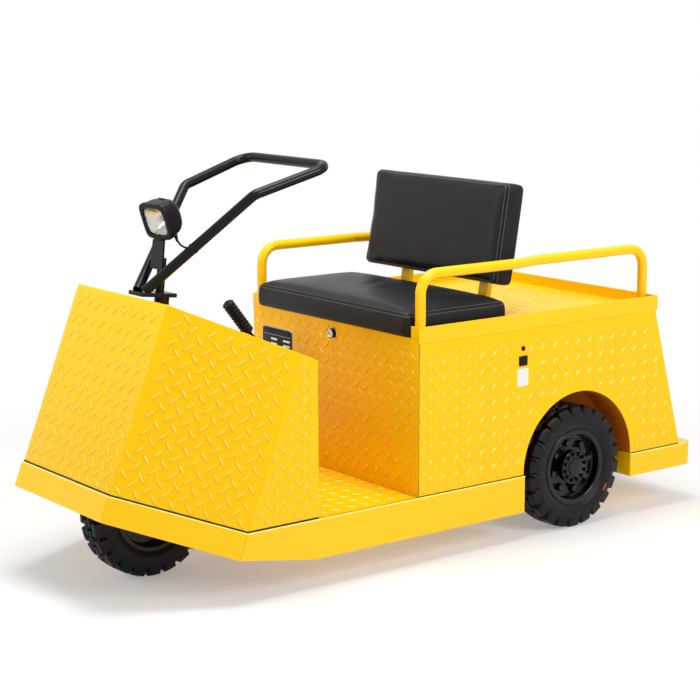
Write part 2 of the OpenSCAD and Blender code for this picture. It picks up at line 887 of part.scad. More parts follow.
// Tow hitch: a back plate and two jaws with one pin hole
hitch_w = 90;
hitch_plate_w = 170;
hitch_plate_t = 10;
hitch_z = (skirt_z + rear_skirt_foot_z) / 2;
hitch_bore_y = hitch_d - hitch_w / 2 + 12;
module tow_hitch() {
    low = hitch_z - hitch_gap / 2 - hitch_t;
    color(tube_black)
        at_axle() {
            translate([-hitch_plate_w / 2, rear_skirt_d, rear_skirt_foot_z])
                cube([hitch_plate_w, hitch_plate_t, skirt_z - rear_skirt_foot_z]);
            for (z = [low, hitch_z + hitch_gap / 2])
                translate([0, 0, z])
                    linear_extrude(hitch_t)
                        difference() {
                            union() {
                                translate([-hitch_w / 2, rear_skirt_d])
                                    square([hitch_w, hitch_d - hitch_w / 2 - rear_skirt_d]);
                                translate([0, hitch_d - hitch_w / 2])
                                    circle(d = hitch_w);
                            }
                            translate([-hitch_w, rear_skirt_d - hitch_w])
                                square([2 * hitch_w, hitch_w + hitch_plate_t]);
                            translate([0, hitch_bore_y])
                                circle(d = hitch_bore_d);
                        }
        }
}

// Fork: blades, crown and stem on the steering axis
blade_x = tyre_w / 2 + fork_gap;
module fork() {
    color(tube_black)
        at_axle()
            difference() {
                on_stem(0) {
                    both_sides()
                        side_plate(blade_x, blade_t) {
                            circle(d = blade_w);
                            translate([-blade_w / 2, 0])
                                square([blade_w, crown_s]);
                        }
                    translate([-blade_x - blade_t, -blade_w / 2, crown_s])
                        cube([2 * (blade_x + blade_t), blade_w, crown_t]);
                    translate([0, 0, crown_s])
                        cylinder(r = stem_r, h = stem_l);
                }
                on_stem(0)
                    rotate([0, 90, 0])
                        cylinder(d = front_axle_d, h = 4 * blade_x, center = true);
            }
}

axle_nut_w = 36;
axle_nut_t = 14;
module front_axle() {
    half_l = blade_x + blade_t;
    color(steel)
        at_axle()
            translate([0, -wheelbase, wheel_z])
                rotate([0, 90, 0]) {
                    cylinder(d = front_axle_d, h = 2 * half_l, center = true);
                    for (x = [-half_l - axle_nut_t, half_l])
                        translate([0, 0, x])
                            cylinder(d = axle_nut_w, h = axle_nut_t, $fn = 6);
                }
}

// Tiller: a plate on the stem's top, and a bent tube from it that opens to a wide handle
tiller_plate = [76, 120, 12];
tiller_plate_front = 92;
arm_foot = [20, -wheelbase + 2, 851];
arm_bend = [186, -wheelbase + 275, 1126];
arm_corner = [tiller_w / 2, -tiller_rear_d, tiller_z];
stem_tip = [0, sin(rake), cos(rake)];
wheel_centre = [0, -wheelbase, wheel_z];
plate_top = plane(wheel_centre + stem_tip * (stem_top_s + tiller_plate.z), stem_tip);
function other_side(p) = [-p.x, p.y, p.z];
module tiller_head() {
    color(tube_black)
        at_axle()
            on_stem(stem_top_s)
                translate([-tiller_plate.x / 2, -tiller_plate_front, 0])
                    cube(tiller_plate);
}
module tiller() {
    path = [arm_foot, arm_bend, arm_corner, other_side(arm_corner), other_side(arm_bend), other_side(arm_foot)];
    color(tube_black)
        at_axle()
            swept_tube(bent_stations(path, tiller_bend_r), tiller_d, tube_sides, plate_top);
}

// Lamp: a post on the tiller's plate, a flat bracket up to the lamp, the housing and its lens
post_d = 26;
post_y = -9;
post_l = 100;
module lamp_post() {
    color(tube_black)
        at_axle()
            on_stem(stem_top_s + tiller_plate.z)
                translate([0, post_y, 0])
                    cylinder(d = post_d, h = post_l);
}

lamp_y = -wheelbase + 84;
bracket_top_w = 60;
bracket_foot_w = 66;
bracket_lap_l = 34;
lamp_bracket_t = 6;
module lamp_bracket() {
    color(tube_black)
        at_axle()
            difference() {
                on_stem(stem_top_s + tiller_plate.z + post_l - bracket_lap_l)
                    translate([0, post_y - post_d / 2, 0])
                        rotate([90, 0, 0])
                            linear_extrude(lamp_bracket_t)
                                polygon([[-bracket_foot_w / 2, 0], [bracket_foot_w / 2, 0],
                                         [bracket_top_w / 2, lamp_w], [-bracket_top_w / 2, lamp_w]]);
                on_lamp()
                    translate([-lamp_w, -lamp_w / 2, -lamp_w])
                        cube(2 * lamp_w);
            }
}

module on_lamp() {
    translate([0, lamp_y, lamp_z])
        rotate([90 + lamp_tilt, 0, 0])
            children();
}
lamp_r = 22;
lens_inset = 12;
lens_depth = 8;
module rounded_square(w, r) {
    for (a = [[r, 0], [0, r]])
        translate([-w / 2 + a[0], -w / 2 + a[1]])
            square([w - 2 * a[0], w - 2 * a[1]]);
    for (x = [-1, 1], y = [-1, 1])
        translate([x * (w / 2 - r), y * (w / 2 - r)])
            circle(r);
}
module lamp_housing() {
    color(tube_black)
        at_axle()
            on_lamp()
                difference() {
                    translate([0, 0, -lamp_l / 2])
                        linear_extrude(lamp_l)
                            rounded_square(lamp_w, lamp_r);
                    translate([0, 0, lamp_l / 2 - lens_depth])
                        linear_extrude(lens_depth + 1)
                            rounded_square(lamp_w - 2 * lens_inset, lamp_r - lens_inset / 2);
                }
}
module lamp_lens() {
    color("white")
        at_axle()
            on_lamp()
                translate([0, 0, lamp_l / 2 - lens_depth])
                    linear_extrude(lens_depth - 2)
                        rounded_square(lamp_w - 2 * lens_inset, lamp_r - lens_inset / 2);
}

// Lead from the back of the lamp to the left arm of the tiller
lead_d = 6;
lead_sides = 8;
lead_route = [for (q = [[14, 28, -52], [20, 29, -65.5], [32, 31.5, -79], [48, 36, -87], [64, 42.4, -88.4], [79, 47, -86]])
    [q.x, lamp_y + q.y, lamp_z + q.z]];
function route_heading(p, i) = let(run = p[min(i + 1, len(p) - 1)] - p[max(i - 1, 0)]) run / norm(run);
module lamp_lead() {
    st = [for (i = [0 : len(lead_route) - 1]) [lead_route[i], route_heading(lead_route, i)]];
    color(rubber_black)
        at_axle()
            swept_tube(st, lead_d, lead_sides);
}

// Wheels: tyre and rim profiles, turned about the axle
shoulder_r = tyre_d / 2 - 8;
tread_w = tyre_w - 22;
side_wall_r = (tyre_d + flange_d) / 4;
module tyre() {
    half = [
        [bead_d / 2, bead_w / 2], [flange_d / 2, bead_w / 2 + 1], [side_wall_r - 12, tyre_w / 2],
        [side_wall_r + 14, tyre_w / 2], [shoulder_r, tread_w / 2 + 6], [tyre_d / 2 - 2, tread_w / 2], [tyre_d / 2, 20]
    ];
    other = [for (i = [len(half) - 1 : -1 : 0]) [half[i][0], -half[i][1]]];
    turned(concat(half, other));
}
rim_lip = 5;
disc_x = 4;
disc_t = 9;
module rim_barrel() {
    in_r = bead_d / 2 - rim_wall;
    out_x = bead_w / 2 + rim_lip;
    turned([[in_r, -out_x], [flange_d / 2, -out_x], [flange_d / 2, -bead_w / 2 - 1], [bead_d / 2, -bead_w / 2],
            [bead_d / 2, bead_w / 2], [flange_d / 2, bead_w / 2 + 1], [flange_d / 2, out_x], [in_r, out_x]]);
    turned([[0, disc_x], [in_r + 1, disc_x], [in_r + 1, disc_x + disc_t], [0, disc_x + disc_t]]);
}
hub_out = 38;
hub_flange_d = 112;
hub_flange_t = 8;
hub_cap_d = 60;
hub_cap_l = 6;
module rear_rim() {
    color(tube_black)
        difference() {
            union() {
                rim_barrel();
                turned([[0, -hub_in], [hub_d / 2, -hub_in], [hub_d / 2, hub_out], [hub_flange_d / 2, hub_out],
                        [hub_flange_d / 2, hub_out + hub_flange_t], [hub_cap_d / 2, hub_out + hub_flange_t],
                        [hub_cap_d / 2 - 3, hub_out + hub_flange_t + hub_cap_l],
                        [0, hub_out + hub_flange_t + hub_cap_l]]);
            }
            turned([[0, -hub_in - 1], [stub_d / 2 + turn_gap, -hub_in - 1],
                    [stub_d / 2 + turn_gap, stub_l - hub_in + 1], [0, stub_l - hub_in + 1]]);
        }
}
front_hub_d = 76;
hub_room = 6;
module front_rim() {
    hub_l = 2 * (blade_x - hub_room);
    color(tube_black)
        at_axle()
            translate([0, -wheelbase, wheel_z])
                difference() {
                    union() {
                        rim_barrel();
                        rotate([0, 90, 0])
                            cylinder(d = front_hub_d, h = hub_l, center = true);
                    }
                    rotate([0, 90, 0])
                        cylinder(d = front_axle_d + 2 * turn_gap, h = hub_l + 2, center = true);
                }
}
module front_tyre() {
    color(rubber_black)
        at_axle()
            translate([0, -wheelbase, wheel_z])
                tyre();
}
module at_left_wheel() {
    at_axle()
        translate([track_x, 0, wheel_z])
            children();
}
module rear_tyre_left() {
    color(rubber_black)
        at_left_wheel()
            tyre();
}
module rear_rim_left() {
    at_left_wheel()
        rear_rim();
}
module rear_tyre_right() {
    mirror([1, 0, 0])
        rear_tyre_left();
}
module rear_rim_right() {
    mirror([1, 0, 0])
        rear_rim_left();
}

skirt_front();
skirt_chamfers();
skirt_sides();
skirt_rear();
floor_plate();
frame_rails();
steering_head();
nose_front();
nose_chamfers();
nose_sides();
nose_bulkhead();
nose_top();
tub_front();
tub_sides();
tub_rear();
wheel_houses();
deck_plate();
deck_rim();
handrail_left();
handrail_right();
seat_cushion();
seat_back();
back_brackets();
key_lock();
charge_socket();
brake_lever();
brake_grip();
foot_pedals();
battery_box();
drive_axle();
drive_motor();
tow_hitch();
fork();
front_axle();
tiller_head();
tiller();
lamp_post();
lamp_bracket();
lamp_housing();
lamp_lens();
lamp_lead();
front_tyre();
front_rim();
rear_tyre_left();
rear_rim_left();
rear_tyre_right();
rear_rim_right();
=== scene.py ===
# %% [markdown]
# # An electric tow tractor, dressed in Blender
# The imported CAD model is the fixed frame. Its plain parts, such as the deck, the rails underneath and the fork,
# stay as they are and only get finishes. Plates that show their edges get copies with round edges. What a camera
# sees closely is built new: tyres with lugs, rims, pads with seams, smooth tubes, the lamp, and the raised lenses
# of the chequer plate. All places below are millimetres from the floor point under the middle of the rear axle,
# and `row` turns them into the frame's metres.

# %% The frame
import json
import math

import bmesh
import bpy
import numpy as np
from mathutils import Matrix, Vector
from mathutils.bvhtree import BVHTree

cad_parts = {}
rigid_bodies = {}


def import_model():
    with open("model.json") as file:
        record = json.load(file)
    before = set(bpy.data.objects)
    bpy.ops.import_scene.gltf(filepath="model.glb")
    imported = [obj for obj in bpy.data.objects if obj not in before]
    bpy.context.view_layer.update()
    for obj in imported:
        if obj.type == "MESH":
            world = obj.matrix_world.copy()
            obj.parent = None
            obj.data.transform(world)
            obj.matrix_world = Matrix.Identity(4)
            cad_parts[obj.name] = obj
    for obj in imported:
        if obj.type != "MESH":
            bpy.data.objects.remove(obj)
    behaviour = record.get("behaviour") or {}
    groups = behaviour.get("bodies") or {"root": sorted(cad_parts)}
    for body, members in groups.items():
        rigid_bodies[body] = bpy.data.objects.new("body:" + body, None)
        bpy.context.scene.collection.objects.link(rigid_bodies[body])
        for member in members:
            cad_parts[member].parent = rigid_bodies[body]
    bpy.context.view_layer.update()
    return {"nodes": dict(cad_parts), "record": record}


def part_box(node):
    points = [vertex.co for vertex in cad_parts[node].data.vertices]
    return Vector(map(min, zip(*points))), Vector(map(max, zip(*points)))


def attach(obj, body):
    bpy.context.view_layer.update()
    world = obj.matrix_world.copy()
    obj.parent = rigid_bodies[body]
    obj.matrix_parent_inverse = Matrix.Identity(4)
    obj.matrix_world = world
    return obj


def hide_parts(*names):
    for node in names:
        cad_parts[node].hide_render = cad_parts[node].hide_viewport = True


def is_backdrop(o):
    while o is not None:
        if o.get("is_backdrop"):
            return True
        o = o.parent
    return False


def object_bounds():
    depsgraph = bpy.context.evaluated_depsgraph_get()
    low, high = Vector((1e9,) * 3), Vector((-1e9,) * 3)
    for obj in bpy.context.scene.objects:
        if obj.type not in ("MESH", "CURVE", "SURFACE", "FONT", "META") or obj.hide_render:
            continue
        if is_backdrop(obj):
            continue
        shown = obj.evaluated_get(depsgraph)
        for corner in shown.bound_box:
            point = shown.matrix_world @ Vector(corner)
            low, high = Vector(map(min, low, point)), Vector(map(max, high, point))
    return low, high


for default in list(bpy.data.objects):
    bpy.data.objects.remove(default)
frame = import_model()
low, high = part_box("rear_tyre_left")
AXLE = np.array([0.0, (low.y + high.y) / 2 * 1000, 0.0])
TRACK_X = (low.x + high.x) / 2 * 1000
low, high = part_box("front_tyre")
WHEELBASE = AXLE[1] - (low.y + high.y) / 2 * 1000
WHEEL_Z = 200.0
MIRROR = np.array([-1, 1, 1])
scene = bpy.context.scene


def row(points):
    """Millimetres from the rear axle, moved by the axle's place and divided by a thousand."""
    return (np.asarray(points, float) + AXLE) / 1000


def added(name, data):
    """A new object of a mesh, camera or light, in the scene."""
    obj = bpy.data.objects.new(name, data)
    scene.collection.objects.link(obj)
    return obj


print("axle", AXLE.round(1), "wheelbase", round(WHEELBASE, 1), "track", round(2 * TRACK_X, 1))

# %% [markdown]
# ## Camera
# The photograph was taken with a long lens from the machine's front left. Its place and lens were worked out
# from the corners of the folded plates, which are straight and level on the real machine. A camera looks
# along its own -Z, so its matrix has the picture's right, up and backward directions as columns.

# %% Camera
FOCAL_PX, PICTURE_PX, SENSOR = 1841.2, 700, 36
AZIMUTH, ELEVATION, ROLL = 52.663, 10.637, -0.121
STAND = [4564.2, -4066.1, 1665.4]
az, el, roll = np.radians([AZIMUTH, ELEVATION, ROLL])
back = np.array([np.sin(az) * np.cos(el), -np.cos(az) * np.cos(el), np.sin(el)])
right = np.array([np.cos(az), np.sin(az), 0.0])
over = np.cross(back, right)
right, over = np.cos(roll) * right + np.sin(roll) * over, np.cos(roll) * over - np.sin(roll) * right
lens = bpy.data.cameras.new("photo_camera")
lens.sensor_width = SENSOR
lens.lens = FOCAL_PX / PICTURE_PX * SENSOR
lens.clip_end = 200
camera = added("photo_camera", lens)
turn = np.eye(4)
turn[:3, :3] = np.stack([right, over, back], 1)
turn[:3, 3] = row(STAND)
camera.matrix_world = Matrix(turn.tolist())
scene.camera = camera
print("lens", round(lens.lens, 1), "mm")

# %% [markdown]
# ## Shared shader effects
# Two effects come back in many finishes, so each is a node group. `uneven_finish` breaks up a flat colour: a
# slow tint over the sheet, a fine skin such as the orange peel of spray paint, and patches that shine more or
# less. `leather_grain` gives small pebbles with creases between them. Both read Object coordinates, which are
# the machine's own metres, so that a pattern has its true size on every piece.

# %% Node helpers
def new_group(name, sockets_in, sockets_out):
    """An empty shader group with float or colour sockets; returns its tree, input node and output node."""
    tree = bpy.data.node_groups.new(name, "ShaderNodeTree")
    for way, sockets in (("INPUT", sockets_in), ("OUTPUT", sockets_out)):
        for label, kind, value in sockets:
            socket = tree.interface.new_socket(name=label, in_out=way, socket_type="NodeSocket" + kind)
            if value is not None:
                socket.default_value = value
    return tree, tree.nodes.new("NodeGroupInput"), tree.nodes.new("NodeGroupOutput")


def feed(tree, socket, value):
    """A number is set on the socket, and another node's output is linked to it."""
    if isinstance(value, (int, float)):
        socket.default_value = value
    else:
        tree.links.new(value, socket)


def noise(tree, coords, scale, detail):
    """A noise texture on the given coordinates; scale is a number or a socket."""
    n = tree.nodes.new("ShaderNodeTexNoise")
    tree.links.new(coords, n.inputs["Vector"])
    feed(tree, n.inputs["Scale"], scale)
    n.inputs["Detail"].default_value = detail
    return n.outputs["Fac"]


def arithmetic(tree, kind, a, b):
    """One Math node; a and b are sockets or numbers."""
    n = tree.nodes.new("ShaderNodeMath")
    n.operation = kind
    feed(tree, n.inputs[0], a)
    feed(tree, n.inputs[1], b)
    return n.outputs[0]


def scattered(tree, coords, scale, detail, share, middle):
    """A noise between 0 and 1, made to swing by the share round the middle: (noise - 0.5) share + middle."""
    swing = arithmetic(tree, "SUBTRACT", noise(tree, coords, scale, detail), 0.5)
    return arithmetic(tree, "ADD", arithmetic(tree, "MULTIPLY", swing, share), middle)


def tinted(tree, colour, factor):
    """A colour times a factor that changes over the surface."""
    n = tree.nodes.new("ShaderNodeVectorMath")
    n.operation = "SCALE"
    tree.links.new(colour, n.inputs[0])
    tree.links.new(factor, n.inputs["Scale"])
    return n.outputs[0]


def bumped(tree, height, distance):
    """The normal of a surface raised by height times distance."""
    b = tree.nodes.new("ShaderNodeBump")
    tree.links.new(height, b.inputs["Height"])
    feed(tree, b.inputs["Distance"], distance)
    return b.outputs["Normal"]


OUTPUTS = [("Color", "Color", None), ("Roughness", "Float", None), ("Normal", "Vector", None)]
print("each group puts out", [label for label, _, _ in OUTPUTS])

# %% Uneven finish
uneven, g_in, g_out = new_group(
    "uneven_finish",
    [("Color", "Color", (0.5, 0.5, 0.5, 1)), ("Tint", "Float", 0.04), ("Skin scale", "Float", 600.0),
     ("Skin depth", "Float", 0.00005), ("Roughness", "Float", 0.3), ("Patches", "Float", 0.08)], OUTPUTS)
place = uneven.nodes.new("ShaderNodeTexCoord").outputs["Object"]
given = g_in.outputs
shade = scattered(uneven, place, 2.6, 3, given["Tint"], 1.0)
gleam = scattered(uneven, place, 34.0, 4, given["Patches"], given["Roughness"])
skin = bumped(uneven, noise(uneven, place, given["Skin scale"], 2), given["Skin depth"])
for label, value in (("Color", tinted(uneven, given["Color"], shade)), ("Roughness", gleam), ("Normal", skin)):
    uneven.links.new(value, g_out.inputs[label])
print("group", uneven.name, len(uneven.nodes), "nodes")

# %% Leather grain
grain, g_in, g_out = new_group(
    "leather_grain",
    [("Color", "Color", (0.02, 0.02, 0.02, 1)), ("Pebbles", "Float", 420.0), ("Depth", "Float", 0.0004),
     ("Roughness", "Float", 0.42)], OUTPUTS)
place = grain.nodes.new("ShaderNodeTexCoord").outputs["Object"]
given = g_in.outputs
cells = grain.nodes.new("ShaderNodeTexVoronoi")
cells.feature = "DISTANCE_TO_EDGE"
grain.links.new(place, cells.inputs["Vector"])
grain.links.new(given["Pebbles"], cells.inputs["Scale"])
pebble = arithmetic(grain, "MINIMUM", cells.outputs["Distance"], 0.28)
crease = arithmetic(grain, "MULTIPLY", noise(grain, place, 26.0, 5), 0.9)
hide = bumped(grain, arithmetic(grain, "ADD", pebble, crease), given["Depth"])
shade = scattered(grain, place, 5.0, 4, 0.5, 1.0)
gleam = scattered(grain, place, 5.0, 4, -0.16, given["Roughness"])
for label, value in (("Color", tinted(grain, given["Color"], shade)), ("Roughness", gleam), ("Normal", hide)):
    grain.links.new(value, g_out.inputs[label])
print("group", grain.name, len(grain.nodes), "nodes")

# %% [markdown]
# ## Finishes
# The machine has few finishes: a warm yellow gloss paint, satin and gloss black paint, black leather cloth,
# rubber, moulded plastic, and a little bright metal. Each is one Principled shader with the group's colour,
# roughness and normal. Numbers that hold all over, such as the coat, sit on the shader's own sockets. The inside
# of the wheel houses gets a dark orange brown of its own, which is painted shade for the deep shadow there.

# %% How a finish is made
def finish(name, group, inputs, fixed):
    """A material: the group's outputs go to the shader, and fixed numbers are set on the shader's sockets."""
    m = bpy.data.materials.new(name)
    m.use_nodes = True
    tree = m.node_tree
    shader = tree.nodes["Principled BSDF"]
    g = tree.nodes.new("ShaderNodeGroup")
    g.node_tree = group
    for label, value in inputs.items():
        g.inputs[label].default_value = value
    for label, socket in (("Color", "Base Color"), ("Roughness", "Roughness"), ("Normal", "Normal")):
        tree.links.new(g.outputs[label], shader.inputs[socket])
    for label, value in fixed.items():
        shader.inputs[label].default_value = value
    return m


def rgb(r, g, b):
    """A colour given as screen values from 0 to 255, turned into linear light."""
    c = np.array([r, g, b]) / 255
    return (*np.where(c <= 0.04045, c / 12.92, ((c + 0.055) / 1.055) ** 2.4), 1.0)


def shine(level, **more):
    """The shader's fixed numbers: how much a bare surface mirrors, and what else is given."""
    return {"Specular IOR Level": level, **{label.replace("_", " "): value for label, value in more.items()}}


YELLOW = rgb(255, 201, 0)
print("yellow in linear light", np.round(YELLOW, 3))

# %% Table of finishes
SPRAY = ("Color", "Tint", "Skin scale", "Skin depth", "Roughness", "Patches")
table = {
    "plate_yellow": (YELLOW, 0.07, 420.0, 7e-5, 0.34, 0.14, shine(0.18)),
    # The lens finish carries painted shade and highlight through a ramp that is set below.
    "pressed_lens_painted_light": (YELLOW, 0.07, 420.0, 4e-5, 0.24, 0.1, shine(0.55)),
    "paint_yellow": (YELLOW, 0.05, 700.0, 3e-5, 0.24, 0.1, shine(0.22, Coat_Weight=0.15, Coat_Roughness=0.08)),
    # The next finish is a paler yellow that paints the highlight along the skirts' upper edges.
    "painted_highlight_yellow": (rgb(255, 243, 140), 0.05, 700.0, 3e-5, 0.24, 0.1, shine(0.3)),
    # The next finish paints shade: a dark orange brown for the inside of the wheel houses, which lies in deep shadow.
    "arch_painted_shade": (rgb(190, 98, 4), 0.5, 300.0, 2e-4, 0.6, 0.3, shine(0.2)),
    "paint_black": (rgb(10, 10, 11), 0.3, 900.0, 3e-5, 0.24, 0.1, shine(0.2)),
    "rim_black": (rgb(8, 8, 9), 0.3, 500.0, 2e-5, 0.16, 0.06, shine(0.34)),
    "plastic_black": (rgb(12, 12, 13), 0.2, 1500.0, 1e-4, 0.36, 0.12, shine(0.18)),
    "rubber_black": (rgb(11, 11, 11), 0.4, 800.0, 1.2e-4, 0.42, 0.2, shine(0.18)),
    "seal_black": (rgb(16, 14, 8), 0.3, 900.0, 1e-4, 0.7, 0.2, shine(0.2)),
    "tyre": (rgb(13, 13, 14), 0.5, 650.0, 1.2e-4, 0.38, 0.24, shine(0.2)),
    "chrome": (rgb(215, 216, 220), 0.04, 300.0, 1e-5, 0.12, 0.06, {"Metallic": 1.0}),
    "steel": (rgb(170, 171, 174), 0.1, 900.0, 4e-5, 0.32, 0.16, {"Metallic": 1.0}),
    "lens": (rgb(250, 248, 240), 0.02, 130.0, 3.5e-4, 0.06, 0.02, {"Transmission Weight": 1.0, "IOR": 1.46}),
    "thread": (rgb(112, 110, 114), 0.3, 2500.0, 1e-4, 0.6, 0.2, {}),
    "plate_white": (rgb(232, 232, 230), 0.03, 600.0, 3e-5, 0.4, 0.1, {}),
    "mark_orange": (rgb(225, 90, 20), 0.1, 600.0, 5e-5, 0.5, 0.1, {}),
}
finishes = {name: finish(name, uneven, dict(zip(SPRAY, numbers)), fixed) for name, (*numbers, fixed) in table.items()}
finishes["leather_black"] = finish("leather_black", grain, {"Color": rgb(14, 14, 16), "Roughness": 0.4}, shine(0.22))
print(len(finishes), "finishes")

# %% [markdown]
# On the plate's raised lenses the colour is painted shade and painted highlight. It follows an attribute of the lens
# mesh, its rise above the sheet, through a ramp from a darker yellow round the foot, where shade falls, to a lighter
# yellow on the ridge, which catches the light.

# %% Painted shade and highlight on the lenses, and finishes on the frame
tree = finishes["pressed_lens_painted_light"].node_tree
rise = tree.nodes.new("ShaderNodeAttribute")
rise.attribute_name = "rise"
# The ramp paints shade round each lens's foot and a highlight on its ridge.
ramp = tree.nodes.new("ShaderNodeValToRGB")
ramp.color_ramp.elements[0].color = rgb(224, 158, 0)
ramp.color_ramp.elements[1].color = rgb(255, 208, 16)
ramp.color_ramp.elements[1].position = 0.75
tree.links.new(rise.outputs["Fac"], ramp.inputs["Fac"])
group = next(n for n in tree.nodes if n.type == "GROUP")
tree.links.new(ramp.outputs["Color"], group.inputs["Color"])
for part in frame["record"]["subparts"]:
    mesh = frame["nodes"][part["node"]].data
    mesh.materials.clear()
    # The inside of the wheel houses gets the dark brown of painted shade.
    inner = part["node"] == "wheel_houses"
    mesh.materials.append(finishes["arch_painted_shade" if inner else part["material_slot"]])
print("finishes on", len(frame["nodes"]), "nodes")

# %% [markdown]
# ## Surfaces from numbers
# New pieces are grids of points. A grid of `n` by `m` points needs quads that join neighbours, and a side that
# closes on itself joins its last row to its first. `piece` puts a grid into a mesh, welds the points that fall
# together at poles, turns closed shapes' faces outwards, and shades it smooth between sharp edges.

# %% Grids and copies
def quads(n, m, wrap_n=False, wrap_m=False):
    """Corner numbers of an n by m grid: (i, j), (i+1, j), (i+1, j+1), (i, j+1), modulo where it wraps."""
    i, j = np.meshgrid(np.arange(n if wrap_n else n - 1), np.arange(m if wrap_m else m - 1), indexing="ij")
    k, l = (i + 1) % n, (j + 1) % m
    return np.stack([i * m + j, k * m + j, k * m + l, i * m + l], -1).reshape(-1, 4)


def together(*shapes):
    """Several (points, faces) as one, each shape's corner numbers moved past the points before it."""
    points = [np.asarray(p, float).reshape(-1, 3) for p, _ in shapes]
    starts = np.cumsum([0] + [len(p) for p in points[:-1]])
    return np.concatenate(points), np.concatenate([f + s for (_, f), s in zip(shapes, starts)])


def copies(faces, places):
    """The same small shape at many places, given as an array of (places, points of the shape, 3)."""
    n, m = places.shape[:2]
    return places.reshape(-1, 3), (faces[None] + (np.arange(n) * m)[:, None, None]).reshape(-1, 4)


def mirrored(shape):
    """The shape on the other side of the machine, its faces turned round so that they still point outwards."""
    return shape[0] * MIRROR, shape[1][:, ::-1]


print("a 3 by 4 grid has", len(quads(3, 4)), "quads, and", len(quads(3, 4, wrap_m=True)), "if its rows close")

# %% Pieces
WELD = 1e-6


def piece(name, shape, material, body, stands_for=(), closed=True, sharp=38):
    """An object at the origin from (points, quads), with its finish and body."""
    points, faces = shape
    mesh = bpy.data.meshes.new(name)
    mesh.from_pydata(row(np.asarray(points).reshape(-1, 3)).tolist(), [], faces.tolist())
    work = bmesh.new()
    work.from_mesh(mesh)
    bmesh.ops.remove_doubles(work, verts=work.verts, dist=WELD)
    if closed:
        bmesh.ops.recalc_face_normals(work, faces=work.faces)
    work.to_mesh(mesh)
    work.free()
    mesh.polygons.foreach_set("use_smooth", np.ones(len(mesh.polygons), bool))
    mesh.set_sharp_from_angle(angle=math.radians(sharp))
    mesh.materials.append(finishes[material])
    obj = added(name, mesh)
    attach(obj, body)
    if stands_for:
        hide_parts(*stands_for)
    print(name, len(mesh.vertices), "points")
    return obj


print("points closer than", WELD, "m are welded")

# %% [markdown]
# Most pieces come from a few ways to move a line: a profile turned round an axis, a shape put into a place of its
# own, and a circle carried along a line with round bends.

# %% Turned and placed shapes
def turned(profile, n=96):
    """A profile of (radius, offset) carried round the X axis: (offset, radius cos t, radius sin t)."""
    r, x = np.asarray(profile, float).T
    t = np.arange(n)[:, None] * 2 * np.pi / n
    return np.stack([x + 0 * t, r * np.cos(t), r * np.sin(t)], -1), quads(n, len(r), wrap_n=True)


def carried(points, origin, axes):
    """Points of a local frame put at origin along its three unit vectors."""
    return np.asarray(origin, float) + np.asarray(points, float).reshape(-1, 3) @ np.asarray(axes, float)


def put(shape, origin, axes):
    """A shape of a local frame, put at origin along the frame's three unit vectors."""
    return carried(shape[0], origin, axes), shape[1]


def unit(v):
    """A vector divided by its length."""
    v = np.asarray(v, float)
    return v / np.linalg.norm(v)


def run_along(line):
    """The way covered at each point of a line, starting at zero."""
    return np.concatenate([[0], np.cumsum(np.linalg.norm(np.diff(line, axis=0), axis=1))])


def axes_on(axis, side):
    """Three square unit vectors: the axis, the side, and their cross product."""
    return np.array([axis, side, np.cross(axis, side)], float)


print("a cone of 96 sides has", len(turned([(10, 0), (0, 30)])[1]), "faces")


# %% Bent lines and tubes
def bent_line(corners, radius, steps=8):
    """Straight runs joined by arcs: at each corner an arc of the radius touches both runs."""
    c = np.asarray(corners, float)
    line = [c[:1]]
    for a, b, d in zip(c[:-2], c[1:-1], c[2:]):
        u, v = unit(b - a), unit(d - b)
        angle = np.arccos(np.clip(u @ v, -1, 1))
        middle = b + unit(v - u) * radius / np.cos(angle / 2)
        e = unit(b - u * radius * np.tan(angle / 2) - middle)
        t = np.linspace(0, angle, steps + 1)[:, None]
        line.append(middle + radius * (e * np.cos(t) + u * np.sin(t)))
    return np.concatenate(line + [c[-1:]])


def tube(line, diameter, sides=24):
    """A circle carried along a line; the ends close on the middle. The circle's frame is kept square to the
    heading by taking away from its side direction the part along the heading."""
    p = np.asarray(line, float)
    heading = np.gradient(p, axis=0)
    heading /= np.linalg.norm(heading, axis=1)[:, None]
    side = np.array([1.0, 0, 0]) if abs(heading[0][0]) < 0.8 else np.array([0, 1.0, 0])
    frames = []
    for h in heading:
        side = unit(side - (side @ h) * h)
        frames.append(side)
    u = np.array(frames)
    v = np.cross(heading, u)
    a = np.arange(sides) * 2 * np.pi / sides
    ring = u[:, None] * np.cos(a)[None, :, None] + v[:, None] * np.sin(a)[None, :, None]
    rings = p[:, None] + ring * diameter / 2
    ends = np.repeat(p[[0, -1]][:, None], sides, 1)
    rings = np.concatenate([ends[:1], rings, ends[1:]])
    return rings, quads(len(rings), sides, wrap_m=True)


sample = bent_line([[0, 0, 0], [100, 0, 0], [100, 100, 0]], 60)
print("two runs of 100 mm with a bend of radius 60 are", run_along(sample)[-1].round(1), "mm long")

# %% [markdown]
# ## Folded plates
# The nose is folded from flat sheets, so its corners are where three planes meet. The same planes as in the CAD
# source give the corners here. On each sheet sit raised lenses, the pattern of chequer plate: two square
# lattices, one shifted by half a pitch both ways, with lenses leaning 45 degrees to either side. They could be
# a bump texture, but real lenses catch light on their ends from every side, as the pressed steel does.

# %% Planes of the nose
def plane(point, normal):
    """A plane as its unit normal and its distance from the origin along it."""
    n = unit(normal)
    return n, float(n @ np.asarray(point, float))


def inset(p, t):
    """The plane moved t inwards."""
    return p[0], p[1] - t


def meet(a, b, c):
    """The point on three planes, from three linear equations."""
    return np.linalg.solve(np.array([a[0], b[0], c[0]]), np.array([a[1], b[1], c[1]]))


